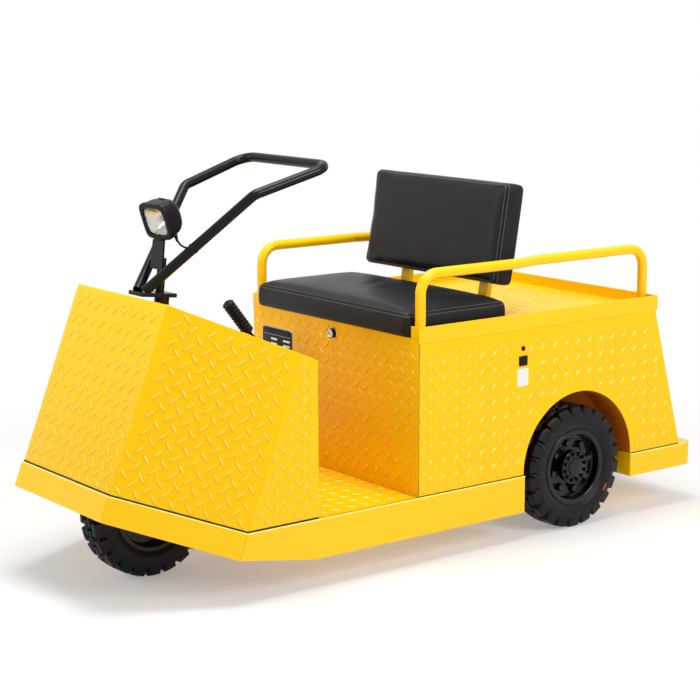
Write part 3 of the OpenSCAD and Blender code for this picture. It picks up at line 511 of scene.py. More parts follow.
HALF_W, PANEL_X, SKIRT_Z, NOSE_REAR, TUB_FRONT = 436.0, 431.0, 208.0, -1027.0, -658.0
TUB_REAR, RIM_FOOT, DECK_Z, REAR_LEAN, FRONT_LEAN = 349.0, 676.0, 690.0, 15.8, 21.3
SHEET, CREST_Z, ROOF_FALL = 5, 847, np.radians(24.5)
lean = np.radians(FRONT_LEAN)
up_the_nose = np.array([0, np.sin(lean), np.cos(lean)])
front_foot, side_foot = np.array([255.0, -1617, 335]), np.array([HALF_W, -1277, SKIRT_Z])
front = inset(plane(front_foot, [0, -np.cos(lean), np.sin(lean)]), SHEET)
slant = inset(plane(front_foot, np.cross(side_foot - front_foot, up_the_nose)), SHEET)
side = plane([PANEL_X, 0, 0], [1, 0, 0])
across = plane([0, NOSE_REAR, 0], [0, 1, 0])
floor_line = plane([0, 0, SKIRT_Z], [0, 0, 1])
corner = meet(slant, side, floor_line)
kick = plane(corner, [0, front_foot[2] - corner[2], -(front_foot[1] - corner[1])])
crest = meet(front, plane([0, 0, CREST_Z], [0, 0, 1]), plane([0, 0, 0], [1, 0, 0]))
roof = plane(crest, [0, np.sin(ROOF_FALL), np.cos(ROOF_FALL)])
print("crest", crest.round(1), "corner", corner.round(1))

# %% One lens of the chequer plate
LENS_HALF, LENS_W, LENS_H, LENS_FOOT, PITCH, FIRST = 20.5, 5.4, 3.2, 0.25, 51.0, 19
LENS_GRID, MARGIN = (7, 5), 2.0
a, b = np.meshgrid(*(np.linspace(-1, 1, n) for n in LENS_GRID), indexing="ij")
lens_width = LENS_W * (1 - a ** 2) ** 0.7 + LENS_FOOT
lens_rise = (1 - a ** 2) ** 0.55 * (1 - np.abs(b) ** 1.6)
lens_shape = np.stack([LENS_HALF * a, lens_width * b, LENS_H * lens_rise - LENS_FOOT], -1).reshape(-1, 3)
print("a lens has", len(lens_shape), "points and rises", lens_shape[:, 2].max().round(2), "mm")

# %% Lenses on a flat sheet
def lens_piece(name, *sheets):
    """A piece of lenses whose points carry their rise, from 0 at the foot to 1 on the ridge."""
    shape = together(*sheets)
    obj = piece(name, shape, "pressed_lens_painted_light", "chassis", closed=False, sharp=180)
    # The rise drives the painted shade round the foot and the painted highlight on the ridge.
    rise = obj.data.attributes.new("rise", "FLOAT", "POINT")
    rise.data.foreach_set("value", np.tile(lens_rise.ravel(), len(shape[0]) // lens_rise.size).astype(np.float32))


def inside(points, outline, margin):
    """True where a point is inside a convex outline by a margin: the cross product with each edge says how far."""
    edge = np.roll(outline, -1, 0) - outline
    away = points[:, None] - outline[None]
    depth = (edge[:, 0] * away[..., 1] - edge[:, 1] * away[..., 0]) / np.linalg.norm(edge, axis=1)
    x, y = outline.T
    area = np.sum(x * np.roll(y, -1) - np.roll(x, -1) * y)
    return np.all(depth * np.sign(area) >= margin, axis=1)


def chequered(corners, normal, bare=(), level=None):
    """Lenses on a flat sheet. The sheet's own axes are level and uphill; lattice points are kept where both tips
    of the lens are inside the outline, and not within the radius of a bare place (point, radius)."""
    corners = np.asarray(corners, float)
    n = unit(normal)
    if level is None:
        level = np.cross([0, 0, 1.0], n)
        level = level if np.linalg.norm(level) > 0.05 else [1.0, 0, 0]
    level = unit(level)
    uphill = np.cross(n, level)
    outline = np.stack([(corners - corners[0]) @ level, (corners - corners[0]) @ uphill], -1)
    lo, hi = outline.min(0), outline.max(0)
    u, v = np.meshgrid(*(np.arange(a + FIRST, b, PITCH) for a, b in zip(lo, hi)), indexing="ij")
    spots = np.stack([u.ravel(), v.ravel()], -1)
    spots = np.concatenate([spots, spots + PITCH / 2])
    tilt = np.where(np.arange(len(spots)) < len(spots) // 2, -np.pi / 4, np.pi / 4)
    c, s = np.cos(tilt), np.sin(tilt)
    tip = LENS_HALF * np.stack([c, s], -1)
    keep = inside(spots + tip, outline, MARGIN) & inside(spots - tip, outline, MARGIN)
    world = corners[0] + spots[:, :1] * level + spots[:, 1:] * uphill
    for point, radius in bare:
        keep &= np.linalg.norm(world - np.asarray(point, float), axis=1) > radius
    world, c, s = world[keep], c[keep], s[keep]
    x, y, z = lens_shape.T
    flat = np.stack([c[:, None] * x - s[:, None] * y, s[:, None] * x + c[:, None] * y, z + 0 * c[:, None]], -1)
    points = world[:, None] + flat @ np.array([level, uphill, n])
    return copies(quads(*LENS_GRID), points)


trial = chequered([[0, 0, 0], [500, 0, 0], [500, 500, 0], [0, 500, 0]], [0, 0, 1])
print("a sheet of half a metre square takes", len(trial[0]) // len(lens_shape), "lenses")

# %% Chequer on the nose
def upright(x0, x1, y, z0, z1):
    """The corners of an upright sheet across the machine, from its foot at x0 to its foot at x1 and back above."""
    return [[x0, y, z0], [x1, y, z0], [x1, y, z1], [x0, y, z1]]


def level_sheet(x, y0, y1, z):
    """The corners of a level sheet, as wide to the left as to the right."""
    return [[-x, y0, z], [x, y0, z], [x, y1, z], [-x, y1, z]]


foot_f, top_f, top_s = meet(front, slant, kick), meet(front, slant, roof), meet(slant, side, roof)
inner_side = inset(side, 4)
INNER_X, HEAD_HOLE = inner_side[1], ([0, -1281, 776], 74)
top_left = [top_f, meet(slant, inner_side, roof), meet(inner_side, across, roof)]
nose_slant = chequered([foot_f, meet(slant, side, kick), top_s, top_f], slant[0], level=corner - foot_f)
nose_side = chequered([corner, [PANEL_X, NOSE_REAR, SKIRT_Z], meet(side, across, roof), top_s], [1, 0, 0])
nose_front = chequered([foot_f * MIRROR, foot_f, top_f, top_f * MIRROR], front[0])
nose_top = chequered(top_left + [p * MIRROR for p in top_left[::-1]], roof[0], [HEAD_HOLE])
nose_wall = chequered(upright(INNER_X, -INNER_X, NOSE_REAR, SKIRT_Z, top_left[2][2]), [0, 1, 0],
                      [([x, NOSE_REAR, 400], 56) for x in (-130, 120)])
lens_piece("chequer_nose", nose_front, nose_slant, mirrored(nose_slant), nose_side, mirrored(nose_side), nose_top,
           nose_wall)

# %% [markdown]
# The tub behind the footwell carries the same plate. Its sides are cut by the wheel arches, its front carries a
# key lock, a name plate and the brake lever's ears, and the sheet is left bare there.

# %% Chequer on the tub, deck and floor
tail_lean = math.radians(REAR_LEAN)
foot_y = TUB_REAR + (RIM_FOOT - SKIRT_Z) * math.tan(tail_lean)
ARCH = ([PANEL_X, 10, 210], 238 + 24)
LOCK, LEVER_FOOT, SOCKET_Y = np.array([12, TUB_FRONT, 652]), np.array([-220.0, -684, 464]), -238
side_ring = [[PANEL_X, TUB_FRONT, SKIRT_Z], [PANEL_X, foot_y, SKIRT_Z], [PANEL_X, TUB_REAR, RIM_FOOT],
             [PANEL_X, TUB_FRONT, RIM_FOOT]]
panel_spots = [([PANEL_X, SOCKET_Y, z], r) for z, r in ((616, 30), (577, 42), (530, 50))]
tub_left = chequered(side_ring, [1, 0, 0], [ARCH] + panel_spots)
tub_right = mirrored(chequered(side_ring, [1, 0, 0], [ARCH]))
plate_spots = [([x, TUB_FRONT, z], 42) for x in (-360, -320, -280, -235) for z in (560, 600)]
tub_front = chequered(upright(-INNER_X, INNER_X, TUB_FRONT, SKIRT_Z, 684), [0, -1, 0],
                      plate_spots + [(LOCK, 34), ([LEVER_FOOT[0], TUB_FRONT, LEVER_FOOT[2]], 44)])
tub_rear = chequered([[INNER_X, foot_y, SKIRT_Z], [-INNER_X, foot_y, SKIRT_Z], [-INNER_X, TUB_REAR, RIM_FOOT],
                      [INNER_X, TUB_REAR, RIM_FOOT]], [0, math.cos(tail_lean), math.sin(tail_lean)])
deck_spots = [(197, -200, 44), (197, -170, 44), (388, 326, 42)]
deck = chequered(level_sheet(428, -252, 350, DECK_Z), [0, 0, 1],
                 [([way * x, y, DECK_Z], r) for x, y, r in deck_spots for way in (-1, 1)])
floor = chequered(level_sheet(426, NOSE_REAR, TUB_FRONT, SKIRT_Z), [0, 0, 1])
lens_piece("chequer_tub", tub_left, tub_right, tub_front, tub_rear)
lens_piece("chequer_deck", deck, floor)

# %% [markdown]
# ## Softened edges
# The skirts, the deck's rim and the brackets are cut from thick plate whose edges are ground round, and the panels
# are folded with a small radius. A round edge shows a bright line. The CAD triangles are loose, so a copy is
# welded, its flat faces are joined, and a Bevel rounds every edge. The copy then stands for the node.


def softened(node, width, body):
    """A welded copy of a node, its edges cut by an arc of the width."""
    source = frame["nodes"][node]
    mesh = source.data.copy()
    mesh.transform(source.matrix_world)
    work = bmesh.new()
    work.from_mesh(mesh)
    bmesh.ops.remove_doubles(work, verts=work.verts, dist=2e-5)
    bmesh.ops.dissolve_limit(work, angle_limit=math.radians(0.5), verts=work.verts, edges=work.edges)
    bmesh.ops.recalc_face_normals(work, faces=work.faces)
    work.to_mesh(mesh)
    work.free()
    obj = added(node + "_soft", mesh)
    edge = obj.modifiers.new("edge", "BEVEL")
    edge.width, edge.segments = width, 3
    edge.limit_method, edge.angle_limit = "ANGLE", math.radians(25)
    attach(obj, body)
    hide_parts(node)
    print(obj.name, len(mesh.polygons), "flat faces")


for body, width, nodes in (("chassis", 0.003, "skirt_front skirt_chamfers skirt_sides skirt_rear"),
                           ("chassis", 0.002, "deck_rim back_brackets tow_hitch"),
                           ("chassis", 0.0015, "nose_front nose_chamfers nose_sides nose_top"),
                           ("chassis", 0.0015, "tub_front tub_sides tub_rear"),
                           ("steering", 0.002, "tiller_head"), ("steering", 0.0012, "lamp_bracket")):
    for node in nodes.split():
        softened(node, width, body)

# %% [markdown]
# ## Seals
# Where the panels end above the skirts there is a dark joint, a strip of black sealer. It could be a dark line in the
# paint's material, but that would blur from near by. So each strip is a small bar along the panel's foot, standing
# out by less than a millimetre.

# %% Seal strips
def bar(start, end, up, out, height, proud):
    """A thin bar from start to end: its section is a rectangle of height along up and proud along out."""
    start, end, up, out = (np.asarray(q, float) for q in (start, end, up, out))
    section = np.array([[0.0, -1.0], [0, proud], [height, proud], [height, -1.0]])
    ring = section[:, :1] * unit(up) + section[:, 1:] * unit(out)
    middle = np.broadcast_to(ring.mean(0), ring.shape)
    rings = np.stack([start + middle, start + ring, end + ring, end + middle])
    return rings, quads(4, 4, wrap_m=True)


def foot(y):
    """The point of the left panels' foot at a place along the machine."""
    return np.array([PANEL_X, y, SKIRT_Z])


UP, LEFT, REARWARD, tub_y = [0, 0, 1], [1, 0, 0], [0, 1, 0], TUB_FRONT + 1.5
strips = [bar(foot_f, corner, up_the_nose, slant[0], 4.5, 0.7),
          bar(corner, foot(NOSE_REAR), UP, LEFT, 4.5, 0.7),
          bar(foot(TUB_FRONT), foot(-228), UP, LEFT, 2.5, 0.5),
          bar(foot(250), foot(foot_y - 4), UP, LEFT, 2.5, 0.5),
          bar(foot(tub_y), [PANEL_X, tub_y, RIM_FOOT], REARWARD, LEFT, 2, 0.4),
          bar(foot(NOSE_REAR), foot(TUB_FRONT), [-1, 0, 0], UP, 2, 0.4)]
strips += [mirrored(strip) for strip in strips]
strips.append(bar(foot_f * MIRROR, foot_f, up_the_nose, front[0], 4.5, 0.7))
piece("panel_seals", together(*strips), "seal_black", "chassis")

# %% [markdown]
# Along the skirts' upper edges runs a painted highlight: a low bar just under each edge, on the skirt's outer face,
# in a paler yellow that stands for the bright line a round edge catches from the light above, along the foot of the
# machine.

# %% Painted highlight along the skirts' upper edges
def in_plane_up(p):
    """The part of the upward direction that lies in a plane."""
    return unit(np.array([0, 0, 1.0]) - p[0][2] * p[0])


front_skirt, slant_skirt, side_skirt = inset(front, -SHEET), inset(slant, -SHEET), plane([HALF_W, 0, 0], LEFT)
bend, turn_in = meet(front_skirt, slant_skirt, kick), meet(slant_skirt, side_skirt, floor_line)
side_end = np.array(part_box("skirt_sides")[1])[1] * 1000 - AXLE[1]
rear_start, rear_end = (np.array(q)[1] * 1000 - AXLE[1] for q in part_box("skirt_rear"))
EDGE_H, EDGE_OUT, EDGE_DROP, REAR_STOP = 3.6, 0.35, 3.8, 40
runs = [(bend * MIRROR, bend, front_skirt), (bend, turn_in, slant_skirt),
        (turn_in, np.array([HALF_W, side_end - 1, SKIRT_Z]), side_skirt),
        (np.array([HALF_W, rear_start + 1, SKIRT_Z]), np.array([HALF_W, rear_end - REAR_STOP, SKIRT_Z]), side_skirt)]
edges = []
for start, end, face in runs:
    up = in_plane_up(face)
    edges.append(bar(start - up * EDGE_DROP, end - up * EDGE_DROP, up, face[0], EDGE_H, EDGE_OUT))
edges += [mirrored(edge) for edge in edges[1:]]
# The bars carry the painted highlight in a pale yellow.
piece("skirt_painted_highlight", together(*edges), "painted_highlight_yellow", "chassis")
print("skirt ends", side_end.round(1), rear_start.round(1), rear_end.round(1))

# %% [markdown]
# ## Tubes
# The handrails and the tiller are bent from one tube each. The CAD solids have sixteen sides, which is enough
# for them, but the eye sees facets along a highlight. A curve object with a round bevel could be used, but its ends
# stay open. So the same line is carried here with a finer circle that closes on itself at both ends.

# %% Handrails
RAIL_D, RAIL_BEND, RAIL_Z, ROUND = 32, 60, 880, 28
RAIL_FEET = np.array([[412, -636, DECK_Z], [388, 326, DECK_Z]])
rail_line = bent_line([RAIL_FEET[0], [412, -636, RAIL_Z], [412, -245, RAIL_Z], [388, -155, RAIL_Z],
                       [388, 326, RAIL_Z], RAIL_FEET[1]], RAIL_BEND, 10)
rail = tube(rail_line, RAIL_D, ROUND)
piece("rail_tube_left", rail, "paint_yellow", "chassis", stands_for=["handrail_left"])
piece("rail_tube_right", mirrored(rail), "paint_yellow", "chassis", stands_for=["handrail_right"])
bead = turned([(16.0, 0.0), (21.0, 0.2), (20.2, 2.2), (18.0, 4.0), (16.2, 5.2), (15.5, 3.0)], 40)
beads = [put(bead, at * [way, 1, 1], [UP, LEFT, REARWARD]) for at in RAIL_FEET for way in (-1, 1)]
piece("rail_welds", together(*beads), "paint_yellow", "chassis", closed=False)

# %% Tiller
RAKE, HEAD_RISE, TILLER_D, TILLER_BEND = math.radians(6.5), 632 + 12, 30, 46
stem = np.array([0, math.sin(RAKE), math.cos(RAKE)])
stem_foot = np.array([0, -WHEELBASE, WHEEL_Z])
arm = np.array([[20, -WHEELBASE + 2, 851], [186, -WHEELBASE + 275, 1126], [222, -823, 1199]], float)
arm_dir = unit(arm[1] - arm[0])
plate_top = (stem_foot + stem * HEAD_RISE) @ stem
arm_start = arm[0] + arm_dir * (plate_top + 2 - arm[0] @ stem) / (arm_dir @ stem)
left_arm = np.vstack([arm_start, arm[1:]])
tiller_line = bent_line(np.vstack([left_arm, (left_arm * MIRROR)[::-1]]), TILLER_BEND, 10)
piece("tiller_tube", tube(tiller_line, TILLER_D, ROUND), "paint_black", "steering", stands_for=["tiller"])

# %% [markdown]
# ## Tyres
# An industrial tyre has blocks along both shoulders, zigzag grooves round the crown, and short slots across the ribs
# between them. One block could be modelled and repeated round the wheel, but the joints between copies would show.
# So it is one surface of two parameters: the turn angle and the way along the section, counted from the middle of the
# crown. The section is a smooth line, and grooves move a point inwards along the section's own normal. Masks made
# from both parameters say where a groove is, and thin ribs on the wall are raised in the same way.

# %% Masks
def smooth(x, start, end):
    """0 before start, 1 after end, and the cubic 3t^2 - 2t^3 between."""
    t = np.clip((x - start) / (end - start), 0, 1)
    return t * t * (3 - 2 * t)


def wave(x):
    """A triangle wave of period 1 between -1 and 1."""
    return 4 * np.abs((x % 1) - 0.5) - 1


def slot_across(turns, half, end):
    """1 in the middle of each period, within half of it, and 0 past end."""
    return 1 - smooth(np.abs((turns % 1) - 0.5), half, end)


print("the wave runs from", wave(0.5), "to", wave(0.0))

# %% Section and tread
BLOCKS, STEPS, SECTION_STEPS = 22, 18, 58
SLOT_DEPTH, MIDDLE_DEPTH, CROSS_DEPTH, ZIGZAG_AT, CROWN_END = 11.0, 8.0, 9.0, 19, 17
WALL_RIBS = ((81, 1.3, 1.6), (99, 0.9, 1.4), (105, 1.1, 1.6))
section = np.array([[200, 0], [200, 16], [199.6, 30], [198.8, 39], [197.4, 43.4], [193.6, 46], [186, 48.4],
                    [176, 50.4], [166, 52], [155, 52.4], [145, 51.6], [136, 49.6], [129, 46.4], [124.5, 43.6],
                    [118, 42.4], [112, 42]])
run = run_along(section)
way = np.linspace(0, run[-1], SECTION_STEPS)
r_half, x_half = np.interp(way, run, section[:, 0]), np.interp(way, run, section[:, 1])
way, x_line = (np.concatenate([-half[:0:-1], half]) for half in (way, x_half))
r_line = np.concatenate([r_half[:0:-1], r_half])
dr, dx = np.gradient(r_line), np.gradient(x_line)
length = np.hypot(dr, dx)
n_r, n_x = dx / length, -dr / length
theta = np.arange(BLOCKS * STEPS) * 2 * np.pi / (BLOCKS * STEPS)
turns = theta[:, None] * BLOCKS / (2 * np.pi) + np.where(way > 0, 0.5, 0.0)
reach = np.abs(way)[None]
shoulder = slot_across(turns, 0.095, 0.13) * smooth(reach, CROWN_END, 20) * (1 - smooth(reach, 74, 78))
zigzag = 1 - smooth(np.abs(reach - ZIGZAG_AT - 3.5 * wave(turns)), 2.2, 4.4)
middle = (1 - smooth(np.abs(way[None] - 2.0 * wave(turns)), 1.8, 3.6)) * (reach < 12)
cross = slot_across(turns + 0.5, 0.07, 0.115) * smooth(reach, 2, 4) * (reach < CROWN_END)
depth = SLOT_DEPTH * np.maximum(shoulder, zigzag) * (1 - 0.5 * smooth(reach, 50, 76))
depth = np.maximum(depth, np.maximum(MIDDLE_DEPTH * middle, CROSS_DEPTH * cross))
depth -= sum(h * np.exp(-((reach - at) / w) ** 2) for at, h, w in WALL_RIBS)
radius, offset = r_line - depth * n_r, x_line - depth * n_x
tyre_points = np.stack([offset, radius * np.cos(theta)[:, None], radius * np.sin(theta)[:, None]], -1)
tyre_faces = quads(len(theta), len(way), wrap_n=True)
print("tread grooves go", depth.max().round(1), "mm deep")

# %% Three tyres
hubs = {"front": ([0, -WHEELBASE, WHEEL_Z], "front_wheel", "front_tyre"),
        "left": ([TRACK_X, 0, WHEEL_Z], "rear_wheel_left", "rear_tyre_left"),
        "right": ([-TRACK_X, 0, WHEEL_Z], "rear_wheel_right", "rear_tyre_right")}
for label, (centre, body, node) in hubs.items():
    piece("lugged_tyre_" + label, (tyre_points + centre, tyre_faces), "tyre", body, stands_for=[node], closed=False,
          sharp=50)

# %% [markdown]
# ## Rims
# The rear rims are deep dishes: a rolled lip, a barrel, a disc with wheel nuts far inside, and a hub that comes
# out again to a flange with twelve bolts and a cap. They could be stacked from cylinders, but a turned profile gives
# all of that in one closed shape, with small chamfers so that its edges catch light. Nuts and bolts are six-sided
# heads placed on circles. The left tyre's wall carries a small orange mark.

# %% Rim profiles
lip = [(103, 13.4), (106, 17), (106, 40), (106.5, 42.7), (108, 45), (110.3, 46.5), (113, 47), (119.5, 47),
       (121.6, 46.6), (123.2, 45.6), (124, 44.2), (123, 43.6)]
barrel = lip + [(112, 42), (112, -42), (123, -43.6), (124, -45.4), (122.6, -47), (109, -47), (106, -44), (106, 0),
                (103, 4)]
rear_profile = [(0, 52), (25, 52), (28.4, 51.2), (30, 49), (30, 46.6), (31, 46), (54.6, 46), (56, 44.8), (56, 39.4),
                (54.8, 38), (51, 37.6), (50, 36.6), (50, 18), (51.4, 14.6), (55, 13), (96, 13)] + barrel \
    + [(50, 4), (50, -23), (49, -24), (20.3, -24), (20.3, 21), (0, 21)]
front_profile = [(12.9, 60.5), (34, 60.5), (37, 59.4), (38, 57), (38, 18), (40, 14), (44, 13), (96, 13)] + barrel \
    + [(44, 4), (39, 2), (38, -2), (38, -57), (37, -59.4), (34, -60.5), (12.9, -60.5), (12.9, 60.5)]
print("profiles of", len(rear_profile), "and", len(front_profile), "points")


# %% Rims with nuts and bolts
def heads(circle_r, count, at_x, width, height):
    """Six-sided heads standing on a circle round X: a foot ring, a shoulder ring, a chamfered top and its middle."""
    rings = [(width / 2, -0.5), (width / 2, height * 0.8), (width / 2 * 0.82, height), (0, height * 1.02)]
    head, faces = turned(rings, 6)
    spin = np.arange(count) * 2 * np.pi / count + 0.2
    middle = np.stack([np.full(count, at_x), circle_r * np.cos(spin), circle_r * np.sin(spin)], -1)
    return copies(faces, middle[:, None] + head.reshape(-1, 3))


washers = turned([(68, 12.8), (68, 15), (69, 15.8), (87, 15.8), (88, 15), (88, 12.8)])
rear_rim = together(turned(rear_profile), heads(44, 12, 46, 13, 9), heads(78, 8, 13, 25, 16), washers)
front_rim = together(turned(front_profile), heads(60, 6, 13, 20, 11))
for label, (centre, body, _) in hubs.items():
    shape, node = (front_rim, "front_rim") if label == "front" else (rear_rim, "rear_rim_" + label)
    points, faces = mirrored(shape) if label == "right" else shape
    piece("dished_rim_" + label, (points + centre, faces), "rim_black", body, stands_for=[node], sharp=32)
MARK_AT, MARK_HALF, MARK_TURN = np.array([TRACK_X + 52.0, 128, WHEEL_Z - 84]), 12, (0.548, 0.836)
mark_run = np.array([0, *MARK_TURN])
mark_start, mark_end = (MARK_AT + way * MARK_HALF * mark_run for way in (-1, 1))
mark = bar(mark_start, mark_end, [0, MARK_TURN[1], -MARK_TURN[0]], LEFT, 4, 0.9)
piece("tyre_mark", mark, "mark_orange", "rear_wheel_left")

# %% [markdown]
# ## Lamp
# The lamp has a square front with round corners and a domed back. A bevelled box and half a ball would leave a step
# between them, but a superellipse does both: with a high power it is a rounded square, with power two a circle.
# Rings of it with changing size and power, along the lamp's own axis, give the housing. Inside sit a bright reflector
# bowl and a bulb, and a clear lens closes the front. In the photograph the lamp looks a little to the machine's left,
# so its axes are turned by that angle.

# %% Superellipse rings
def superellipse(p, n=64):
    """A closed line between a circle (power 2) and a square: x = sign(cos) |cos|^(2/p), and y likewise with sin."""
    t = np.arange(n) * 2 * np.pi / n
    return (np.sign(v) * np.abs(v) ** (2 / p) for v in (np.cos(t), np.sin(t)))


def rounded_rings(stations, n=64):
    """Superellipse rings, each given by its place along the axis, half width and power."""
    z, w, p = np.asarray(stations, float).T[:, :, None]
    x, y = superellipse(p, n)
    return np.stack([w * x, w * y, z + 0 * x], -1), quads(len(stations), n, wrap_m=True)


print("corner of a superellipse of power 5:", round(0.5 ** (1 / 5), 3), "of the half width")

# %% Lamp
LAMP = np.array([0, -WHEELBASE + 84, 1060])
LAMP_YAW, LAMP_TIP = math.radians(9.5), math.radians(110)
tip_cos, tip_sin, yaw_cos, yaw_sin = (f(q) for q in (LAMP_TIP, LAMP_YAW) for f in (math.cos, math.sin))
lamp_axes = np.array([[1, 0, 0], [0, tip_cos, tip_sin], [0, -tip_sin, tip_cos]]) \
    @ np.array([[yaw_cos, yaw_sin, 0], [-yaw_sin, yaw_cos, 0], [0, 0, 1]])
housing = rounded_rings([(-39, 0, 2), (-39, 10, 2), (-38, 20, 2.1), (-35.5, 30, 2.3), (-31, 39, 2.6), (-24, 46.5, 3),
                         (-14, 51, 3.6), (-2, 53, 4.4), (14, 53.6, 5), (24, 53.8, 5.4), (24.4, 55.6, 5.6),
                         (27, 56, 5.8), (36, 56, 5.6), (38.4, 55, 5.4), (39, 53.4, 5.2), (39, 46, 4.4),
                         (38.2, 44, 4.2), (35, 42.6, 4.2), (31, 42.4, 4.2), (28, 42, 4.2), (14, 40, 4), (-20, 34, 3),
                         (-24, 0, 2)])
bowl = rounded_rings([(31, 42.4, 4.2), (28, 41, 4.1), (22, 37.6, 3.8), (14, 32, 3.3), (6, 25, 2.7), (0, 17, 2.2),
                      (-3, 9, 2), (-3, 0, 2)])
bulb = rounded_rings([(-3, 7, 2), (6, 7, 2), (8, 8.4, 2), (14, 8.6, 2), (18, 7, 2), (20.4, 4, 2), (21, 0, 2)], 24)
glass = rounded_rings([(37.8, 0, 2), (37.6, 16, 2.4), (37, 28, 3), (35.8, 36.4, 3.8), (34.6, 41.4, 4.2),
                       (33, 42.2, 4.2), (32, 41.6, 4.2), (33.4, 33, 3.6), (34.4, 18, 2.6), (34.8, 0, 2)])
housing, bowl, bulb, glass = (put(shape, LAMP, lamp_axes) for shape in (housing, bowl, bulb, glass))
piece("lamp_shell", housing, "plastic_black", "steering", stands_for=["lamp_housing"], sharp=44)
piece("lamp_bowl", (bowl[0], bowl[1][:, ::-1]), "chrome", "steering", closed=False)
piece("lamp_bulb", bulb, "plate_white", "steering", closed=False)
piece("lamp_glass", glass, "lens", "steering", stands_for=["lamp_lens"])
clip_left, clip_right = LAMP + np.array([[-14.0, -6, 53], [14.0, -6, 53]])
piece("lamp_clip", bar(clip_left, clip_right, lamp_axes[2], lamp_axes[1], 6, 2.0), "plastic_black", "steering")

# %% [markdown]
# A thin lead runs from the back of the lamp to the left arm of the tiller. It is short and held at both ends, so
# it hangs in a shallow bow. A line through the route's points, made round by a cubic through four neighbours at a
# time, is carried as a tube.

# %% Lamp lead
LEAD_D = 6
route = LAMP + np.array([[14, 28, -52], [20, 29, -65.5], [32, 31.5, -79], [48, 36, -87], [64, 42.4, -88.4],
                         [79, 47, -86]], float)
ext = np.vstack([2 * route[0] - route[1], route, 2 * route[-1] - route[-2]])
t = np.linspace(0, 1, 6, endpoint=False)[:, None]
p0, p1, p2, p3 = ext[:-3, None], ext[1:-2, None], ext[2:-1, None], ext[3:, None]
bow, sway = 2 * p0 - 5 * p1 + 4 * p2 - p3, 3 * p1 - p0 - 3 * p2 + p3
curve = 0.5 * (2 * p1 + (p2 - p0) * t + bow * t ** 2 + sway * t ** 3)
lead_line = np.vstack([curve.reshape(-1, 3), route[-1:]])
lead_piece = piece("lead_cable", tube(lead_line, LEAD_D, 12), "rubber_black", "steering", stands_for=["lamp_lead"])
relief = turned([(0, -6), (7, -6), (7.4, -4), (7, 0), (5.4, 8), (4.4, 16), (3.3, 22), (3.1, 23)], 20)
clip = turned([(14.9, -4), (15.8, -4), (16.2, -3), (16.2, 3), (15.8, 4), (14.9, 4)], 28)
clip_at = arm[0] + arm_dir * ((route[-1] - arm[0]) @ arm_dir)
for name, shape, at, axis in (("lead_relief", relief, route[0], unit(route[1] - route[0])),
                              ("lead_clip", clip, clip_at, arm_dir)):
    axes = axes_on(axis, unit(np.cross(axis, UP)))
    piece(name, put(shape, at, axes), "rubber_black", "steering", closed=False)

# %% [markdown]
# ## Pads
# The seat is a boxed cushion: a top sheet and a side band, sewn together along the edge, over foam. A box with round
# edges would look like a moulding, so cloth simulation gives the fullness: a slightly small rounded block is
# remeshed into even squares, its underside is held, and pressure from inside swells the rest for a few frames. The
# movement is then evened out between neighbours, because foam under leather cloth shows no small wrinkles, and a cap
# keeps it in its place. The seam comes afterwards, as a groove along the edge, with two rows of stitches that are
# small beads of thread.

# %% Reading, moving and evening out points
def eased(values, ends, times):
    """Each value moved half way to the mean of its neighbours along the mesh's edges, so many times over."""
    count = np.bincount(ends.ravel(), minlength=len(values))[:, None]
    for _ in range(times):
        total = np.zeros_like(values)
        np.add.at(total, ends[:, 0], values[ends[:, 1]])
        np.add.at(total, ends[:, 1], values[ends[:, 0]])
        values = (values + total / count) / 2
    return values


def read(source, label, kind=np.float32, width=3):
    """One property of all vertices or edges as an array of rows."""
    values = np.zeros(len(source) * width, kind)
    source.foreach_get(label, values)
    return values.reshape(-1, width)


def set_places(mesh, metres):
    """The mesh's points moved to these places."""
    mesh.vertices.foreach_set("co", np.asarray(metres, np.float32).ravel())
    mesh.update()


print("one step evens 0, 3, 0 to", eased(np.array([[0.0], [3], [0]]), np.array([[0, 1], [1, 2]]), 1).ravel())

# %% Foam block
CORNER_R, SQUARE = 14, 0.0052


def foam_block(name, w, l, h):
    """A box a little smaller than the pad, its upright edges and its rims bevelled, remeshed into even squares."""
    work = bmesh.new()
    bmesh.ops.create_cube(work, size=1.0)
    for v in work.verts:
        v.co = Vector((v.co.x * (w - 4) / 1000, v.co.y * (l - 4) / 1000, (v.co.z + 0.5) * (h - 1) / 1000))
    upright_edges = [e for e in work.edges if abs(e.verts[0].co.z - e.verts[1].co.z) > 0.01]
    bmesh.ops.bevel(work, geom=upright_edges, offset=CORNER_R / 1000, segments=5, profile=0.5, affect="EDGES")
    rims = [e for e in work.edges if abs(e.verts[0].co.z - e.verts[1].co.z) < 1e-5 and e.is_manifold
            and e.calc_face_angle(0) > 1.0]
    bmesh.ops.bevel(work, geom=rims, offset=0.006, segments=2, profile=0.5, affect="EDGES")
    mesh = bpy.data.meshes.new(name)
    work.to_mesh(mesh)
    work.free()
    block = added(name + "_block", mesh)
    even = block.modifiers.new("even", "REMESH")
    even.mode = "VOXEL"
    even.voxel_size = SQUARE
    bpy.context.view_layer.update()
    mesh = bpy.data.meshes.new_from_object(block.evaluated_get(bpy.context.evaluated_depsgraph_get()))
    mesh.name = name
    bpy.data.objects.remove(block)
    return added(name, mesh)


print("corner radius", CORNER_R, "mm, squares of", SQUARE * 1000, "mm")

# %% Cloth pressure
HELD_BELOW, CLOTH_FRAMES, PRESSURE, SIDEWAYS = 4, 20, 4, 0.2


